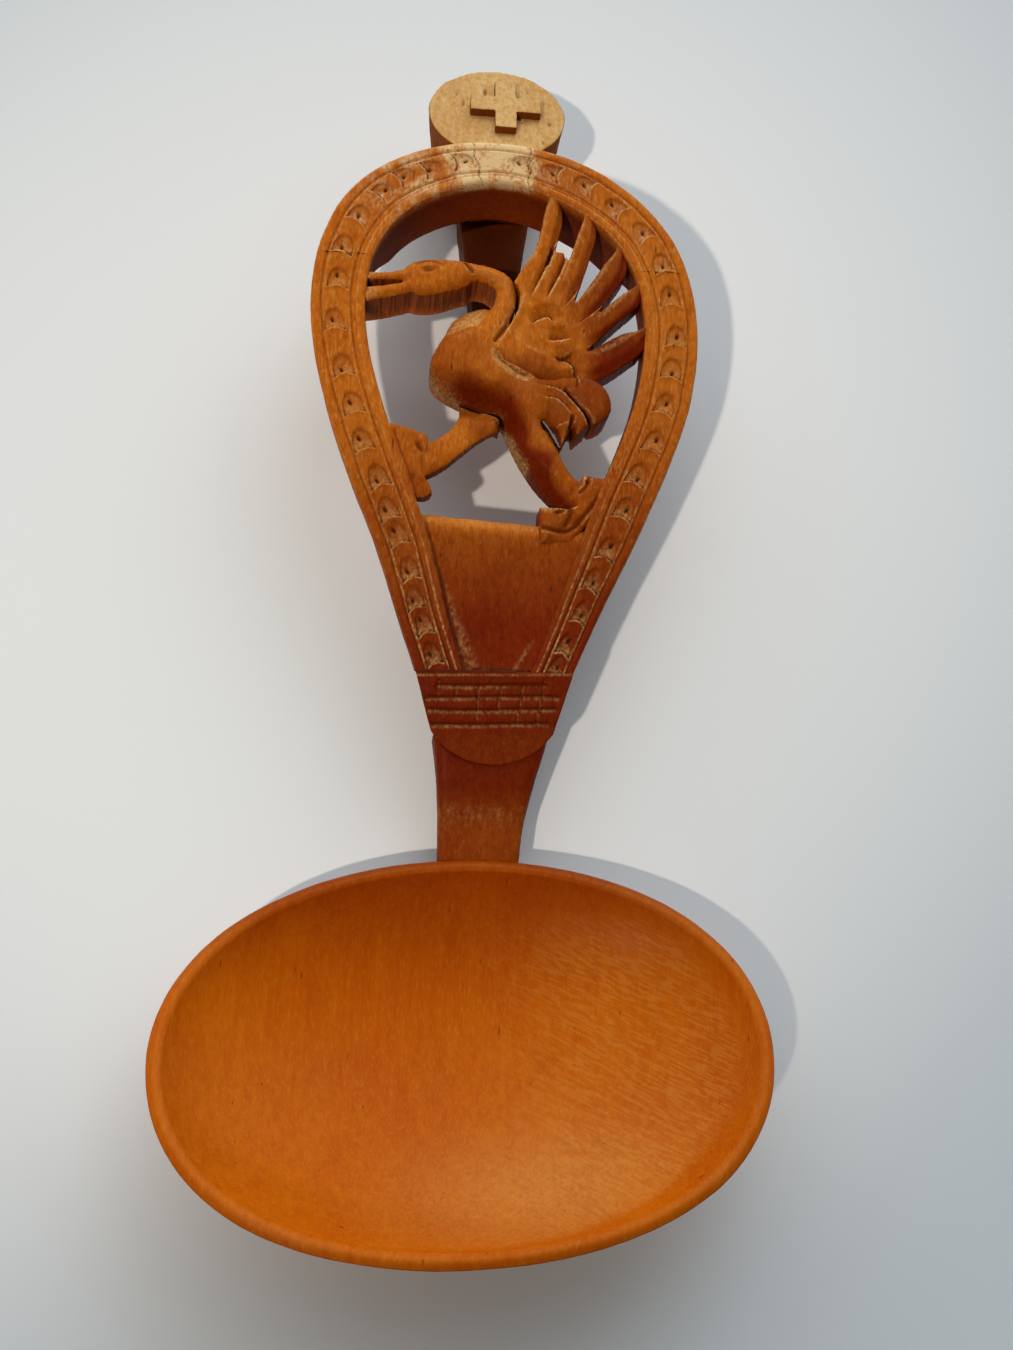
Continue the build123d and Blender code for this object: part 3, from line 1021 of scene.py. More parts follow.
def finishBird(piece, nodes, extraDark, extraPale, paintedShade, mark, lift):
    marks = sawMarks(piece, mark)
    stand = bulge(piece, 8)
    broad = bulge(piece, 40)
    local = readLocal(piece)
    wall = ramp(-np.abs(facingFront(piece)), -0.45, -0.2) * ramp(local[:, 2], -9.5, -5)
    # the added tone is painted shade on the slopes that face away from the light
    tone = blended(local, birdTones)[:, 0] + paintedShade
    # pale on worn edges, with a painted highlight on broad bulges; dark in the hollows, which is dirt and
    # painted shade
    edges = np.maximum(0.55 * ramp(stand, 0.03, 0.16), 0.4 * ramp(broad, 0.12, 0.6))
    edges *= ramp(facingFront(piece), 0.0, 0.45)
    paint(piece, "pale", np.maximum(edges * (1 - 0.5 * tone), extraPale) + 0.12 * wall)
    hollows = np.maximum(0.7 * ramp(-stand, 0.03, 0.18), 0.4 * ramp(-broad, 0.1, 0.7))
    paint(piece, "dark", strongest(hollows, extraDark, 0.25 * wall * ramp(marks, 0.05, 0.45)))
    paint(piece, "sawn", wall)
    paint(piece, "patina", tone * (1 - 0.4 * wall) + 0.5 * wall)
    local[:, 1] += lift * gridRamp(local, 1, -30, 10)
    writeLocal(piece, local)
    handIn(piece, nodes, handleWood)


craneNodes = [
    "bird_body", "bird_neck", "bird_head", "upper_beak", "lower_beak", "front_leg", "front_foot",
    "rear_leg", "rear_foot", "tail_plume_1", "tail_plume_2", "tail_plume_3",
]
# where on the grid, how wide and how deep the edge is rounded
craneRounding = (
    (-100, 174, 0.9, 0.5), (-100, 160, 1.0, 0.6), (-80, 168, 1.4, 0.8), (-56, 176, 2.0, 1.3),
    (-30, 180, 2.1, 1.6), (0, 168, 2.1, 1.5), (-2, 150, 1.7, 1.0), (-12, 140, 2.4, 1.2),
    (-38, 130, 3.0, 2.0), (-48, 108, 3.2, 2.6), (-25, 92, 2.4, 1.7), (0, 80, 2.0, 1.2),
    (-2, 124, 1.0, 0.5), (8, 110, 1.0, 0.5), (22, 102, 0.8, 0.3), (28, 85, 1.0, 0.6),
    (12, 60, 1.2, 0.7), (36, 46, 1.4, 0.9), (30, 26, 1.2, 0.8), (46, 24, 1.2, 0.8),
    (-20, 65, 2.2, 1.8), (-45, 42, 1.8, 1.5), (-70, 55, 0.8, 0.5), (-58, 50, 0.9, 0.7),
    (-53, 20, 1.0, 0.8), (30, 4, 1.5, 1.3), (45, 0, 1.0, 0.9), (60, 25, 0.9, 0.7),
    (66, 90, 1.6, 1.0), (70, 80, 2.0, 1.4), (52, 66, 1.4, 1.1), (40, 58, 1.4, 1.1),
)
# how far parts of the bird lie behind the plate's front
craneSink = (
    (-100, 168, 0.2), (-60, 180, 0.0), (0, 165, 0.0), (-30, 130, 0.0), (-35, 110, 0.0), (-12, 104, 0.0),
    (0, 120, 0.0), (10, 88, 0.0), (15, 60, 0.0), (30, 45, 0.0), (-20, 84, 4.2), (-12, 77, 3.4),
    (-6, 70, 3.0), (-24, 66, 1.6), (-40, 48, 0.5), (-52, 38, 0.5), (-72, 62, 0.4), (-60, 50, 0.8),
    (-58, 34, 0.6), (-54, 18, 1.4), (60, 92, 0.3), (46, 80, 0.3), (38, 66, 0.7), (28, 4, 0.8),
    (38, 10, 1.3), (48, 12, 0.6), (58, 26, 0.5), (67, 30, 1.3), (70, 22, 1.3), (44, -4, 1.8),
)
craneLines = {
    "ridge": (
        (-56, 124), (-49, 112), (-38, 107), (-29, 106), (-17, 103), (-3, 98), (8, 92), (16, 81), (20, 66),
        (21, 50), (29, 40), (41, 26), (51, 14),
    ),
    "bodyLow": ((-60, 108), (-47, 100), (-31, 90), (-17, 85), (-6, 81), (-2, 79)),
    "wing": ((-9, 130), (-7, 123), (1, 114), (11, 108), (24, 104)),
    "curl": ((22, 92), (32, 90), (40, 85), (45, 78), (47, 72)),
    "neckBevel": ((-34, 133), (-28, 137), (-20, 140), (-12, 145)),
    "legBevel": ((-2, 75), (5, 63), (11, 50), (16, 42)),
    "sheen": ((-28, 181), (-13, 179), (-2, 171), (3, 158), (-1, 144), (-10, 136)),
}
# each cut: its line, depth and width
craneCuts = (
    (((-32, 195), (-29, 187), (-25, 181)), 0.9, 0.35),
    (((-64, 184), (-56, 187), (-46, 184)), 0.15, 0.3),
    (((10, 164), (6, 152), (2, 145), (-4, 136), (-8, 130)), 0.9, 0.3),
    (((-26, 90), (-17, 87), (-5, 82)), 0.6, 0.35),
    (((42, 94), (50, 85), (56, 78), (61, 69)), 3.0, 0.24),
    (((47, 74), (46, 66), (45, 60)), 1.8, 0.24),
    (((-76, 60), (-71, 46), (-66, 34), (-59, 14)), 0.6, 0.2),
    (((24, -2), (34, -4), (44, -2), (54, 8), (66, 22)), 0.7, 0.3),
    (((40, 15), (43, 8), (40, 0)), 0.6, 0.4),
    (((50, 22), (55, 27), (58, 36)), 0.6, 0.28),
)
# steps fall away on the right-hand side: line, depth and reach
craneSteps = (
    (((58, 71), (57, 76), (51, 84), (42, 92), (32, 98), (18, 100)), 0.9, 1.8),
    (((47, 73), (45, 78), (40, 85), (32, 90), (22, 92)), 0.8, 1.4),
)
# small hollows: middle, half length and width, turn and depth
craneEye = ((-56, 180), (1.3, 0.62), 8, 0.6)
craneSpots = (
    ((-58, 49), (0.5, 1.3), 35, 1.2),
    ((36, 9), (1.3, 0.4), 25, 0.8),
    ((56, 30), (0.35, 0.35), 0, 0.9),
    ((-62, 28), (0.5, 0.9), 15, 0.3),
)
craneFit = {
    "voxel": 0.22,
    "neck": 1.4,  # how much thicker the neck is, towards the breast
    "thinLeg": 0.5,  # the front leg is thinner than the body
    "facet": 4.4,
    "rearFoot": 0.9,
    "tail": (0.1, 0.75),
    "lift": 0.95,
    "ridgeSlope": (1.15, 4.8, 0.6),  # how steep, how deep at most and how soft at the top
    "curlSlope": (0.7, 2.0, 0.4),
    "wingStep": (0.8, 1.7),
    "sawMarks": 0.1,
}
# the gap between the rear leg and the tail slants away from the front
craneGap = {
    "outline": (
        (24.6, 73), (28.6, 74.6), (31.7, 70), (34.7, 63), (40, 50.5), (38, 48.5), (34, 56.5), (29.9, 65),
    ),
    "slant": (0.116, 0.373),
    "heights": (-11.0, 1.0),
}


def prism(outline, low, high, slant=(0, 0)):
    # block on an outline on the grid; slant says how far it moves for each step down
    lean = np.array(slant)
    bpy.ops.object.select_all(action="DESELECT")
    bpy.ops.mesh.primitive_circle_add(vertices=len(outline), radius=0.01, fill_type="NGON")
    piece = bpy.context.object
    local = np.column_stack([onGrid(outline) - low * lean, np.full(len(outline), low)])
    writeLocal(piece, local)
    startEdit(piece)
    rise = handlePlace[1] @ np.append(-lean * (high - low), high - low)
    bpy.ops.mesh.extrude_region_move(TRANSFORM_OT_translate={"value": Vector(rise * mm)})
    bpy.ops.mesh.select_all(action="SELECT")
    bpy.ops.mesh.normals_make_consistent(inside=False)
    endEdit()
    return piece


def thickenNeck(piece):
    local = readLocal(piece)
    across = (1 - gridRamp(local, 0, -4, 8)) * gridRamp(local, 0, -30, -17)
    up = gridRamp(local, 1, 140, 152) * (1 - gridRamp(local, 1, 160, 172))
    local[:, 0] -= craneFit["neck"] * across * up
    writeLocal(piece, local)


def shapeBack(piece):
    # thins the front leg, slopes the wall above the breast and sets the rear foot and the tail
    facet = nearLine(piece, craneLines["neckBevel"], 1.8) * (1 - frontShare(piece))
    local = readLocal(piece)
    ahead = 1 - gridRamp(local, 0, -8, 0)
    low = 1 - gridRamp(local, 1, 70, 84)
    foot = 1 - gridRamp(local, 1, 8, 60)
    tail = gridRamp(local, 0, 24, 44) * gridRamp(local, 1, 44, 58)
    local[:, :2] += tail[:, None] * craneFit["tail"]
    local[:, 1] += craneFit["facet"] * facet * ramp(-local[:, 2], 0.3, 4.5)
    local[:, 2] *= 1 - craneFit["thinLeg"] * ahead * low
    local[:, 0] += craneFit["rearFoot"] * foot * (1 - ahead)
    writeLocal(piece, local)


def makeCrane():
    gap = prism(craneGap["outline"], *craneGap["heights"], craneGap["slant"])
    piece = carvingStock("crane", craneNodes, craneFit["voxel"], 2, gap)
    thickenNeck(piece)
    rounded(piece, craneRounding)
    local = readLocal(piece)
    sinkFront(piece, blended(local, craneSink)[:, 0])
    # the breast, belly and rear leg slope away from a ridge
    drop, away = slopeFrom(piece, craneLines["ridge"], *craneFit["ridgeSlope"])
    toBelly, bellySide, _ = toLine(piece, craneLines["bodyLow"])
    slope = 1 - ramp(-toBelly * bellySide, 0.0, 0.8) * (local[:, 0] < onGrid((-2.5, 0))[0])
    slope *= (1 - gridRamp(local, 1, 118, 130)) * (local[:, 1] > onGrid((0, 12))[1])
    sinkFront(piece, drop * slope)
    curl = slopeFrom(piece, craneLines["curl"], *craneFit["curlSlope"])[0]
    sinkFront(piece, curl * gridRamp(local, 0, 24, 34) * (local[:, 1] > onGrid((0, 50))[1]))
    saddle = carveStep(piece, craneLines["wing"], *craneFit["wingStep"])[0]
    # the eye and the cuts are painted dark: painted shade and dirt
    dark = 0.55 * carveSpot(piece, *craneEye)
    for points, depth, width in craneCuts:
        dark = np.maximum(dark, min(0.9, 0.5 + 0.2 * depth) * carveLine(piece, points, depth, width))
    front = frontShare(piece)
    sheen = nearLine(piece, craneLines["sheen"], 1.2)
    beakTips = 1 - gridRamp(local, 0, -97, -82)
    pale = strongest(0.4 * ramp(saddle, 0.03, 0.3), 0.24 * sheen * front, 0.34 * beakTips * front)
    # each step gets painted shade on its low side and a painted highlight along its edge
    for points, depth, reach in craneSteps:
        cut, rim = carveStep(piece, points, depth, reach)
        dark = np.maximum(dark, 0.4 * ramp(cut, 0.7, 1.0))
        pale = np.maximum(pale, 0.5 * rim)
    # painted shade in the small hollows
    for spot in craneSpots:
        dark = np.maximum(dark, 0.5 * carveSpot(piece, *spot))
    smooth(piece, 2)
    side = ramp(-facingFront(piece), -0.85, -0.4)
    for name, width, share in (("neckBevel", 2.0, 0.48), ("legBevel", 1.0, 0.34)):
        pale = np.maximum(pale, share * side * nearLine(piece, craneLines[name], width))
    pale = np.maximum(pale, 0.27 * side * bell(toBelly, 0, 1.6))
    onLeg = 1 - gridRamp(local, 1, 60, 90)
    shade = (0.26 + 0.3 * onLeg) * ramp(away, 0.2, 2.2) * slope
    shapeBack(piece)
    finishBird(piece, craneNodes, dark, pale, shade, craneFit["sawMarks"], craneFit["lift"])


wingNodes = ["wing_shoulder", "short_feather"] + [f"wing_feather_{number}" for number in range(1, 6)]
# outline of the wing's root, where its feathers grow together
wingRoot = (
    (-8, 126), (-4, 133), (3, 146), (8, 156), (9, 168), (5, 178), (10, 187), (17, 198), (28, 193),
    (36, 186), (44, 166), (47, 166), (55, 153), (50, 142), (54, 132), (48, 122), (50, 107), (38, 109),
    (24, 106), (11, 110), (1, 116),
)
# middle line of each feather from its root to its tip, half its width in squares and how much it tapers
featherLines = (
    (((6, 162), (13, 178), (20, 192), (25, 206), (29, 222), (32, 236), (34, 248)), 7.5, 0.42),
    (((22, 164), (29, 181), (34, 193), (38, 206)), 5.5, 0.0),
    (((29, 156), (37, 169), (44, 183), (50, 201), (55, 218), (57, 234)), 7.5, 0.42),
    (((38, 146), (49, 158), (58, 167), (66, 178), (74, 191), (80, 208)), 8.5, 0.5),
    (((46, 134), (57, 143), (68, 151), (78, 160), (87, 170), (95, 183)), 8.5, 0.5),
    (((42, 112), (54, 118), (67, 123), (77, 129), (87, 136), (98, 147)), 9.5, 0.5),
)
wingCuts = {
    "voxel": 0.195,
    "front": 0.3,
    "back": -8.6,
    "rounding": ((5, 130, 0.7, 0.3), (40, 108, 1.2, 0.8), (60, 170, 0.6, 0.3)),
    "lead": ((12, 168), (8, 156), (3, 146), (-4, 133), (-8, 127)),
    "dip": ((16, 162), (12, 150), (8, 141)),
    "flank": ((-10, 131), (-3, 127), (11, 121), (21, 117), (36, 115), (50, 116)),
    "crest": ((6, 136), (18, 127), (27, 124)),
    "split": ((28, 192), (30, 198), (32, 205)),
    "steps": (
        ((33, 146), (30, 151), (24, 150), (16, 145)),
        ((46, 137), (38, 135), (28, 134)),
        ((33, 122), (41, 124), (48, 128)),
        ((49, 104), (48, 110), (46, 117), (40, 121), (32, 121)),
    ),
    "stepDepth": 1.5,
    "stepReach": 2.4,
    "flankSlope": (0.9, 2.4, 0.6),
    "thinTips": 0.4,
    "sawMarks": 0.08,
    "lift": 0.35,
}


def shapeFeathers(piece):
    # each feather tapers to its tip, is high along its upper edge and lies under the next one
    local = readLocal(piece)
    flat = local[:, :2].copy()
    nearest = np.full(len(flat), 9.0)
    drop, crest, shade = np.zeros((3, len(flat)))
    moved = flat.copy()
    for points, half, taper in featherLines:
        line = smoothLine(onGrid(points), 100)
        distance, side, along = lineDistance(flat, line)
        across = distance / (half * gridSquare)
        lean = np.clip(-side * across, -1, 1)
        fall = 0.9 * (0.5 + 0.5 * lean) + 0.6 * ramp(lean, 0.4, 1.0) + 0.2 * ramp(-lean, 0.75, 1.0)
        fall = fall * ramp(along, 0.0, 0.28) + 0.4 * ramp(along, 0.8, 1.0)
        mine = across < nearest
        drop = np.where(mine, fall, drop)
        # crest marks where a painted highlight goes, shade where painted shade goes
        crest = np.where(mine, bell(lean, -0.5, 0.3) * ramp(along, 0.2, 0.45), crest)
        shade = np.where(mine, ramp(lean, 0.1, 0.9) * ramp(along, 0.15, 0.4), shade)
        onLine = line[np.round(along * 99).astype(int)]
        squeeze = 1 - taper * ramp(along, 0.75, 1.0)
        moved = np.where(mine[:, None], onLine + (flat - onLine) * squeeze[:, None], moved)
        nearest = np.minimum(nearest, across)
    local[:, :2] = moved
    writeLocal(piece, local)
    return drop, crest, shade


def makeWing():
    top = wingCuts["front"]
    root = prism(wingRoot, wingCuts["back"], top)
    piece = joined([copyNodes("wing", wingNodes), root])
    local = readLocal(piece)
    local[:, 2] = np.minimum(local[:, 2], top)
    writeLocal(piece, local)
    remesh(piece, wingCuts["voxel"])
    smooth(piece, 1)
    rounded(piece, wingCuts["rounding"], top)
    drop, featherCrest, featherShade = shapeFeathers(piece)
    sinkFront(piece, drop, top)
    sinkFront(piece, slopeFrom(piece, wingCuts["flank"], *wingCuts["flankSlope"])[0], top)
    carveLine(piece, wingCuts["dip"], 0.35, 0.9)
    # painted shade in the split
    dark = 0.8 * carveLine(piece, wingCuts["split"], 1.6, 0.24)
    pale = np.zeros(len(dark))
    # each step gets painted shade on its low side and a painted highlight along its edge
    for points in wingCuts["steps"]:
        cut, rim = carveStep(piece, points, wingCuts["stepDepth"], wingCuts["stepReach"])
        dark = np.maximum(dark, 0.6 * ramp(cut, 0.3, 1.0))
        pale = np.maximum(pale, 0.25 * rim)
    smooth(piece, 1)
    local = readLocal(piece)
    local[:, 2] *= 1 - wingCuts["thinTips"] * gridRamp(local, 0, 32, 56)
    writeLocal(piece, local)
    lead = nearLine(piece, wingCuts["lead"], 0.35)
    crest = nearLine(piece, wingCuts["crest"], 0.5)
    flank = slopeFrom(piece, wingCuts["flank"], 1.0, 2.0)[0]
    front = frontShare(piece)
    # the crest and the feathers' upper edges get a painted highlight
    pale = strongest(pale, 0.45 * lead, 0.3 * crest, 0.34 * featherCrest * front)
    # painted shade on the flank's slope and on each feather's lower side
    tone = 0.3 * ramp(flank, 0.2, 1.5) + 0.4 * featherShade * front
    finishBird(piece, wingNodes, dark, pale, tone, wingCuts["sawMarks"], wingCuts["lift"])


makeCrane()
makeWing()
print("bird carved")


# Panel: sunk, dished, with a rounded sill
panelShape = {
    "voxel": 0.3,
    "dish": 0.5,
    "dishOver": 12,
    "back": -6.5,
    "thickness": 4.9,
    "sill": 2.4,
    "sillDrop": 1.6,
    "sillEnds": (26.0, 21.6),  # its height at the left and at the right
    "sillLift": 1.3,
    "span": 64.2,
    "wider": 1.5,
    "underRails": 3.4,
    "edges": ((-4.8, -0.332), (4.8, 0.19)),  # left and right: where at the foot, and the lean
    "corner": (2.9, 0.57),  # a worn wedge at the lower right: where across, and its lean
    "darker": 0.12,
    "sillHighlight": 0.6,
    "pale": (0.27, 0.3, 0.28, 0.26),  # left edge, corner, foot and sill; on the sill it is a painted highlight
}


def makePanel():
    piece = carvingStock("sunkPanel", ["panel"], panelShape["voxel"], 3)
    local = readLocal(piece)
    share = local[:, 0] / panelShape["span"] + 0.5
    sillLeft, sillRight = panelShape["sillEnds"]
    below = sillLeft + (sillRight - sillLeft) * share - local[:, 1]
    leftEdge, rightEdge = (
        start + lean * np.clip(local[:, 1], 0, 30) for start, lean in panelShape["edges"]
    )
    across = (local[:, 0] - leftEdge) / (rightEdge - leftEdge)
    bow = np.clip(4 * across * (1 - across), 0, 1) * ramp(below, 0, panelShape["dishOver"])
    gone = np.clip(1 - below / panelShape["sill"], 0, 1)
    drop = panelShape["dish"] * bow + panelShape["sillDrop"] * (1 - np.sqrt(1 - gone ** 2))
    local[:, 2] -= drop * np.clip((local[:, 2] - panelShape["back"]) / panelShape["thickness"], 0, 1)
    outward = np.clip(2 * across - 1, -1, 1)
    underRails = panelShape["underRails"] * (1 - ramp(local[:, 1], 0, 26))
    local[:, 0] += outward * (panelShape["wider"] + underRails)
    local[:, 1] += panelShape["sillLift"] * (1 - ramp(below, 0, 6))
    writeLocal(piece, local)
    sawMarks(piece, 0.05)
    paleEdgesDarkHollows(piece)
    local = readLocal(piece)
    wedge = 1 - ramp(local[:, 1], 0, 13)
    left = bell(local[:, 0] - leftEdge, 0.9 + 0.5 * wedge, 1.1 + 1.1 * wedge)
    left *= 1 - ramp(local[:, 1], 6, 26)
    cornerLine = panelShape["corner"][0] + panelShape["corner"][1] * local[:, 1]
    corner = bell(local[:, 0], cornerLine, 0.7) * (1 - ramp(local[:, 1], 4, 7.5))
    foot = bell(local[:, 1], 0, 1.2)
    # the sill's rounded top gets a painted highlight: paler and with less patina
    sill = bell(below, 0.6, 1.3) * ramp(local[:, 2], -6, -3)
    patina = patinaAt(readCoords(piece)) + panelShape["darker"]
    paint(piece, "patina", patina - panelShape["sillHighlight"] * sill)
    wearAndHighlight = zip(panelShape["pale"], (left, corner, foot, sill))
    paint(piece, "pale", strongest(*(amount * mask for amount, mask in wearAndHighlight)))
    swayPiece(piece)
    handIn(piece, ["panel"], handleWood)


makePanel()
print("panel carved")


# Brick band: engraved courses and a rounded apron
brickCuts = {
    "voxel": 0.18,
    # each course: start and end, across and up
    "courses": (
        ((-8.7, -2.8), (8.3, -2.2)), ((-10.4, -4.8), (10.2, -4.05)),
        ((-10.1, -6.7), (9.8, -6.0)), ((-10.0, -9.05), (8.8, -8.4)),
    ),
    # each upright: where across, top and foot
    "uprights": (
        (-8.6, -1.9, -4.7), (-5.8, -2.6, -4.6), (-2.3, -2.5, -4.5), (1.3, -2.4, -4.4),
        (4.7, -2.2, -4.2), (8.0, -1.4, -4.1),
        (-2.3, -4.5, -6.4), (1.0, -4.4, -6.3), (4.4, -4.3, -6.2), (7.5, -4.2, -6.1),
        (-2.4, -6.4, -7.6), (4.1, -6.2, -8.5), (7.2, -6.1, -8.4),
    ),
    "depth": 0.34,
    "width": 0.46,
    "chatter": 0.4,
    "lean": 0.036,
    "sawMarks": 0.04,
}


def courseLine(number, start, end):
    # each course is cut by hand, so it waves a little
    start, end = np.array(start), np.array(end)
    sway = 0.1 * np.sin(number * 2.1)
    third = 0.65 * start + 0.35 * end + (0, sway - 0.1)
    return [start, third, 0.3 * start + 0.7 * end + (0, sway), end]


def makeBand():
    piece = carvingStock("brickBand", ["brick_band"], brickCuts["voxel"], 2)
    pale, dark = np.zeros((2, len(piece.data.vertices)))
    depth, width = brickCuts["depth"], brickCuts["width"]
    flat = readLocal(piece, bandPlace) * (1, 0.2, 0)
    chatter = 0.82 + 0.22 * roughness(flat, brickCuts["chatter"], 11)
    for number, ends in enumerate(brickCuts["courses"]):
        points = courseLine(number, *ends)
        cut = carveLine(piece, points, depth, width, bandPlace, False)
        distance, side, along = toLine(piece, points, bandPlace, False)
        faded = 0.5 * ramp(along, 0.5, 0.9) * (number == 0)
        pale = np.maximum(pale, cut * chatter * (1 - faded))
        # a painted shadow runs just above each course
        within = (side > 0) * (along > 0) * (along < 1)
        dark = np.maximum(dark, 0.65 * bell(distance, 0.6, 0.18) * within)
    for across, top, foot in brickCuts["uprights"]:
        points = [(across, top), (across - 0.1, (top + foot) / 2), (across - 0.05, foot)]
        cut = carveLine(piece, points, 0.8 * depth, 0.6 * width, bandPlace, False)
        pale = np.maximum(pale, 0.7 * cut)
    sawMarks(piece, brickCuts["sawMarks"], bandPlace)
    local = readLocal(piece, bandPlace)
    height = local[:, 1] - brickCuts["lean"] * local[:, 0]
    front = local[:, 2] > -1
    border = bell(height, -0.55, 0.32) * front
    # painted shade in the stop cut along the top
    stop = bell(height, 0.1, 0.3) * front
    paint(piece, "pale", np.maximum(0.4 * pale, 0.34 * border))
    paint(piece, "dark", np.maximum(dark, 0.6 * stop))
    paint(piece, "patina", 1 - 0.08 * (1 - ramp(height, -10.5, -9)))
    swayPiece(piece)
    handIn(piece, ["brick_band"], handleWood)


neckFit = {
    "voxel": 0.25,
    "root": (-28, -23),
    "intoBowl": 1.6,
    "rise": 0.9,
    "sawMarks": 0.04,
    "wearAndHighlight": (-22.0, 2.6),  # where up the handle, and its reach
    "smudge": ((-5.5, 2.6), (-17.5, 1.0)),  # middle and reach, across and up
}


def makeNeck():
    piece = carvingStock("spoonNeck", ["neck"], neckFit["voxel"], 5)
    local = readLocal(piece)
    root = 1 - ramp(local[:, 1], *neckFit["root"])
    local[:, 1] -= neckFit["intoBowl"] * root
    local[:, 2] += neckFit["rise"] * root
    writeLocal(piece, local)
    sawMarks(piece, neckFit["sawMarks"], bandPlace)
    local = readLocal(piece)
    front = readNormals(piece)[:, 2] > 0.3
    streaks = 0.55 + 0.45 * ramp(roughness(local * (1, 0.15, 1), 0.6, 8), -0.4, 0.4)
    # a pale band across the neck: wear, and a painted highlight where the neck tilts towards the light
    wearAndHighlight = bell(local[:, 1], *neckFit["wearAndHighlight"]) * streaks
    smudgeAcross, smudgeUp = neckFit["smudge"]
    smudge = bell(local[:, 0], *smudgeAcross) * bell(local[:, 1], *smudgeUp)
    paint(piece, "pale", 0.24 * wearAndHighlight * front)
    paint(piece, "dark", 0.35 * smudge * front)
    paint(piece, "patina", 1 - 0.2 * (1 - ramp(local[:, 1], -27, -17)) - 0.1 * wearAndHighlight)
    swayPiece(piece)
    handIn(piece, ["neck"], handleWood)


makeBand()
makeNeck()
print("band and neck carved")


# Hook with its knob and cross: node, voxel, smoothing, height of the small marks and wood
hookLooks = {
    "hookKnob": ("hook_knob", 0.18, 14, 0.06, knobWood),
    "knobCross": ("knob_cross", 0.15, 2, 0.04, knobWood),
    "hookArm": ("hook_arm", 0.3, 4, 0.09, knobWood),
    "hookTail": ("hook_tail", 0.3, 4, 0.06, handleWood),
}
knobFit = {
    "move": (-0.4, -0.8, 0.0),
    "slope": -14.0,
    "armHalf": 2.53,
    "spanHalf": 6.7,
    "thinner": 0.84,  # the cross's arms, and its span, against the solid
    "smaller": 0.95,
    "crossDown": 1.5,
    "wider": 1.035,
    # chips beside the cross: across and up from its middle, half length and depth
    "chips": (
        (-3.6, 5.2, 1.1, 0.6), (-7.4, 1.6, 1.2, 0.4), (-8.6, 3.8, 0.6, 0.4), (7.8, -2.4, 0.7, 0.5),
        (4.0, 6.0, 0.8, 0.3),
    ),
    "chipHalf": 0.28,
    "wave": (0.14, 4.0, 9),
}


def lowered(place):
    return place[0] - knobFit["crossDown"] * place[1][:, 1], place[1]


def thinCross(piece):
    coords = readCoords(piece)
    place = placing((coords.min(axis=0) + coords.max(axis=0)) / 2, knobFit["slope"])
    local = toLocal(coords, place)
    half, span = knobFit["armHalf"], knobFit["spanHalf"]
    reached = (0, half, span), (0, half * knobFit["thinner"], span * knobFit["smaller"])
    for axis in range(2):
        local[:, axis] = np.sign(local[:, axis]) * np.interp(np.abs(local[:, axis]), *reached)
    writeLocal(piece, local, lowered(place))


def chipKnob(piece):
    crossMiddle = np.mean(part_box("knob_cross"), axis=0) / mm
    place = lowered(placing(crossMiddle, knobFit["slope"]))
    local = readLocal(piece, place)
    gone = np.zeros(len(local))
    for across, up, half, depth in knobFit["chips"]:
        spot = bell(local[:, 0], across, knobFit["chipHalf"]) * bell(local[:, 1], up, half)
        gone = np.maximum(gone, depth * spot)
    gone *= ramp(facingFront(piece, place), 0.5, 0.9)
    local[:, 2] -= gone
    writeLocal(piece, local, place)
    return ramp(gone, 0.08, 0.4)


def makeHook():
    for name, (node, voxel, smoothing, mark, wood) in hookLooks.items():
        piece = carvingStock(name, [node], voxel, smoothing)
        chips = 0
        if node == "knob_cross":
            thinCross(piece)
        if node == "hook_knob":
            chips = chipKnob(piece)
        coords = readCoords(piece)
        if node == "hook_knob":
            middle = (coords[:, 0].min() + coords[:, 0].max()) / 2
            coords[:, 0] = middle + knobFit["wider"] * (coords[:, 0] - middle)
        coords += readNormals(piece) * waviness(coords, (knobFit["wave"], (mark, 1.0, 10)))
        coords[:, 2] = np.maximum(coords[:, 2], 0)
        if node != "hook_tail":
            coords += np.array(knobFit["move"])
        writeCoords(piece, coords)
        paleEdgesDarkHollows(piece)
        side = ramp(-readNormals(piece)[:, 2], -0.75, -0.45)
        if node == "hook_tail":
            patina = np.full(len(side), 0.75)
            # painted shade, darker down the tail
            dark = 0.1 + 0.7 * ramp(-coords[:, 1], -147, -136)
        elif node == "knob_cross":
            patina, dark = 0.95 * side, 0.45 * side
        else:
            patina = 0.9 * side
            dark = np.maximum(0.6 * chips, 0.4 * readPaint(piece, "dark"))
        paint(piece, "patina", patina)
        paint(piece, "dark", dark)
        handIn(piece, [node], wood)


makeHook()
print("hook carved")


# Paper, light and camera; the lights' places and sizes are in metres
stage = {
    "paper": (0.79, 0.80, 0.83, 1),
    "paperSize": 2.4,
    "cameraSpot": (-13.8, -14.45, 219.8),
    "cameraTurn": (17.0, -5.52, 1.91),
    "lens": 36.0,
    "room": (0.05, 2.0),
    "backdrop": 0.55,
    "roomColor": (0.93, 1.0, 0.98, 1),
    "windowSpot": (0.25, 0.75, 0.6),
    "windowAim": (0, 0.03, 0.01),
    "windowSize": 0.6,
    "windowPower": 1.5,
    "windowColor": (0.75, 0.85, 1.0),
    "lampSpot": (-0.444, -0.460, 0.946),
    "lampAim": (-0.026, 0.093, 0.0),
    "lampPower": 26.0,
    "lampCone": 16.3,
    "lampSize": 0.02,
    "lampColor": (1.0, 0.88, 0.72),
}


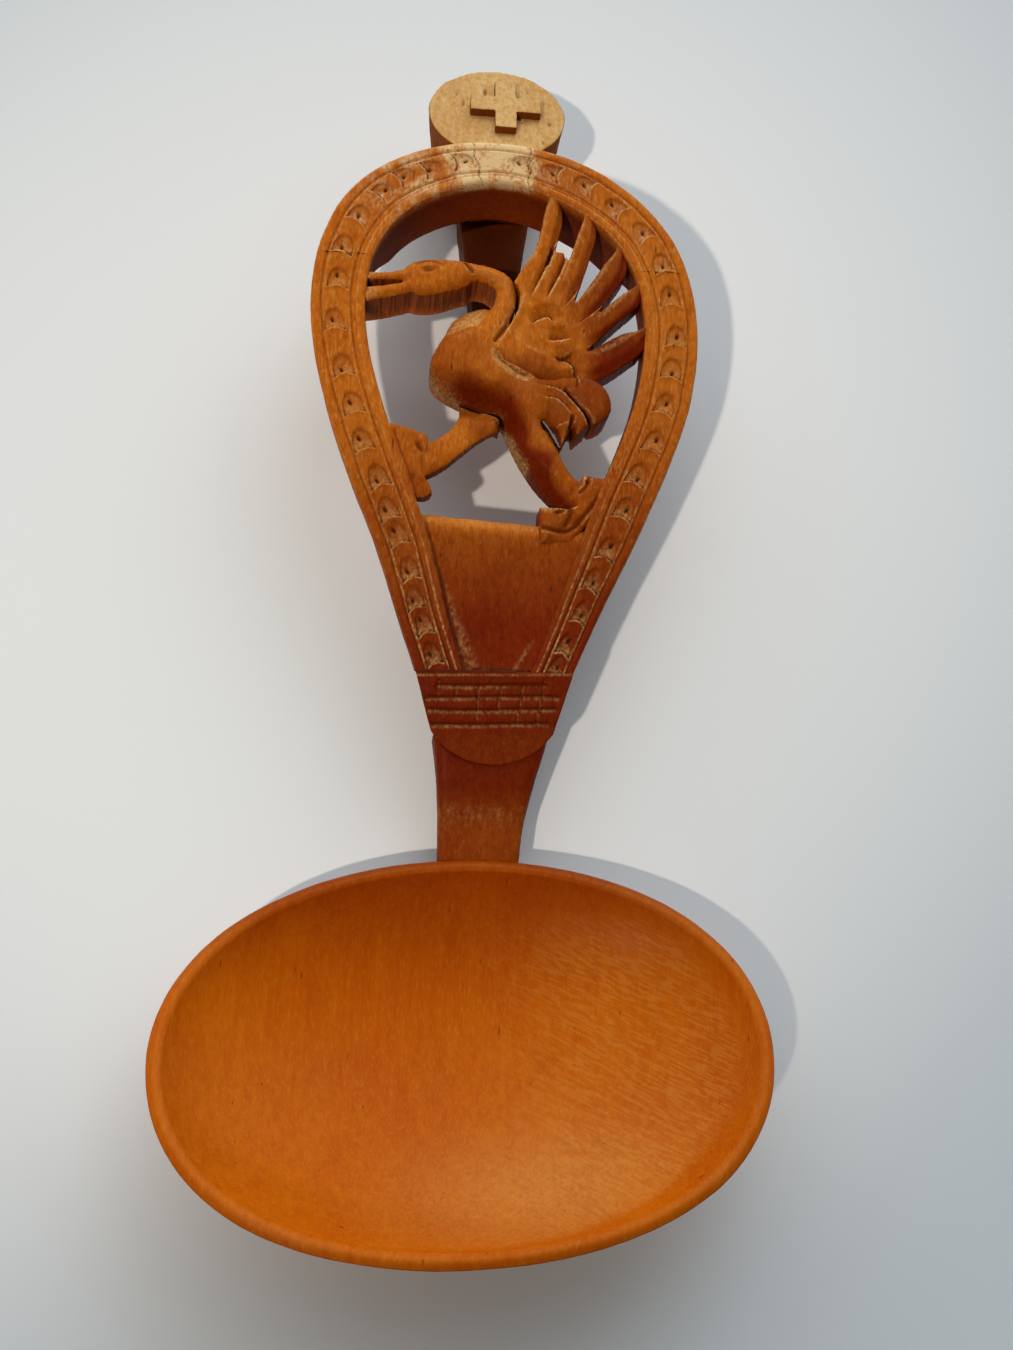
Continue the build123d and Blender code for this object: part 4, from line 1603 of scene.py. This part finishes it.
def setCamera():
    bpy.ops.object.camera_add(
        location=[value * mm for value in stage["cameraSpot"]],
        rotation=[radians(angle) for angle in stage["cameraTurn"]],
    )
    camera = bpy.context.object
    camera.name = "photoCamera"
    camera.data.lens = stage["lens"]
    camera.data.sensor_width = 36.0
    camera.data.clip_start = 1 * mm
    bpy.context.scene.camera = camera


def setPaper():
    bpy.ops.mesh.primitive_plane_add(size=stage["paperSize"])
    floor = bpy.context.object
    floor.name = "paperFloor"
    material = bpy.data.materials.new("paper")
    material.use_nodes = True
    shader = material.node_tree.nodes["Principled BSDF"]
    shader.inputs["Base Color"].default_value = stage["paper"]
    shader.inputs["Roughness"].default_value = 0.9
    shader.inputs["Specular IOR Level"].default_value = 0.1
    floor.data.materials.append(material)


def aimed(light, spot):
    light.rotation_euler = (Vector(spot) - light.location).to_track_quat("-Z", "Y").to_euler()


def setLights():
    bpy.ops.object.light_add(type="AREA", location=stage["windowSpot"])
    window = bpy.context.object
    window.name = "windowLight"
    window.data.energy = stage["windowPower"]
    window.data.size = stage["windowSize"]
    window.data.color = stage["windowColor"]
    aimed(window, stage["windowAim"])
    bpy.ops.object.light_add(type="SPOT", location=stage["lampSpot"])
    lamp = bpy.context.object
    lamp.name = "deskLamp"
    aimed(lamp, stage["lampAim"])
    lamp.data.energy = stage["lampPower"]
    lamp.data.spot_size = radians(stage["lampCone"])
    lamp.data.spot_blend = 1.0
    lamp.data.shadow_soft_size = stage["lampSize"]
    lamp.data.color = stage["lampColor"]
    setRoom()


def setRoom():
    # the room is bright towards the window and dim behind the viewer
    world = bpy.context.scene.world or bpy.data.worlds.new("room")
    bpy.context.scene.world = world
    world.use_nodes = True
    tree = world.node_tree
    background = tree.nodes["Background"]
    background.inputs["Color"].default_value = stage["roomColor"]
    heading = addNode(tree, "ShaderNodeTexCoord").outputs["Generated"]
    towards = addNode(tree, "ShaderNodeVectorMath", operation="DOT_PRODUCT")
    towards.inputs[1].default_value = (0, 1, 0)
    join(tree, heading, towards.inputs[0])
    light = rangeNode(tree, towards.outputs["Value"], 0.0, 0.9, *stage["room"])
    seen = addNode(tree, "ShaderNodeLightPath").outputs
    plain = mathNode(tree, "MAXIMUM", seen["Is Camera Ray"], seen["Is Glossy Ray"])
    plain = mathNode(tree, "MAXIMUM", plain, seen["Is Transmission Ray"])
    lit = mathNode(tree, "MULTIPLY", light, mathNode(tree, "SUBTRACT", 1.0, plain))
    shown = mathNode(tree, "MULTIPLY", plain, stage["backdrop"])
    join(tree, mathNode(tree, "ADD", lit, shown), background.inputs["Strength"])


bpy.ops.object.select_all(action="DESELECT")
setCamera()
setPaper()
setLights()
bpy.context.scene.view_settings.view_transform = "Standard"
print("stage set")
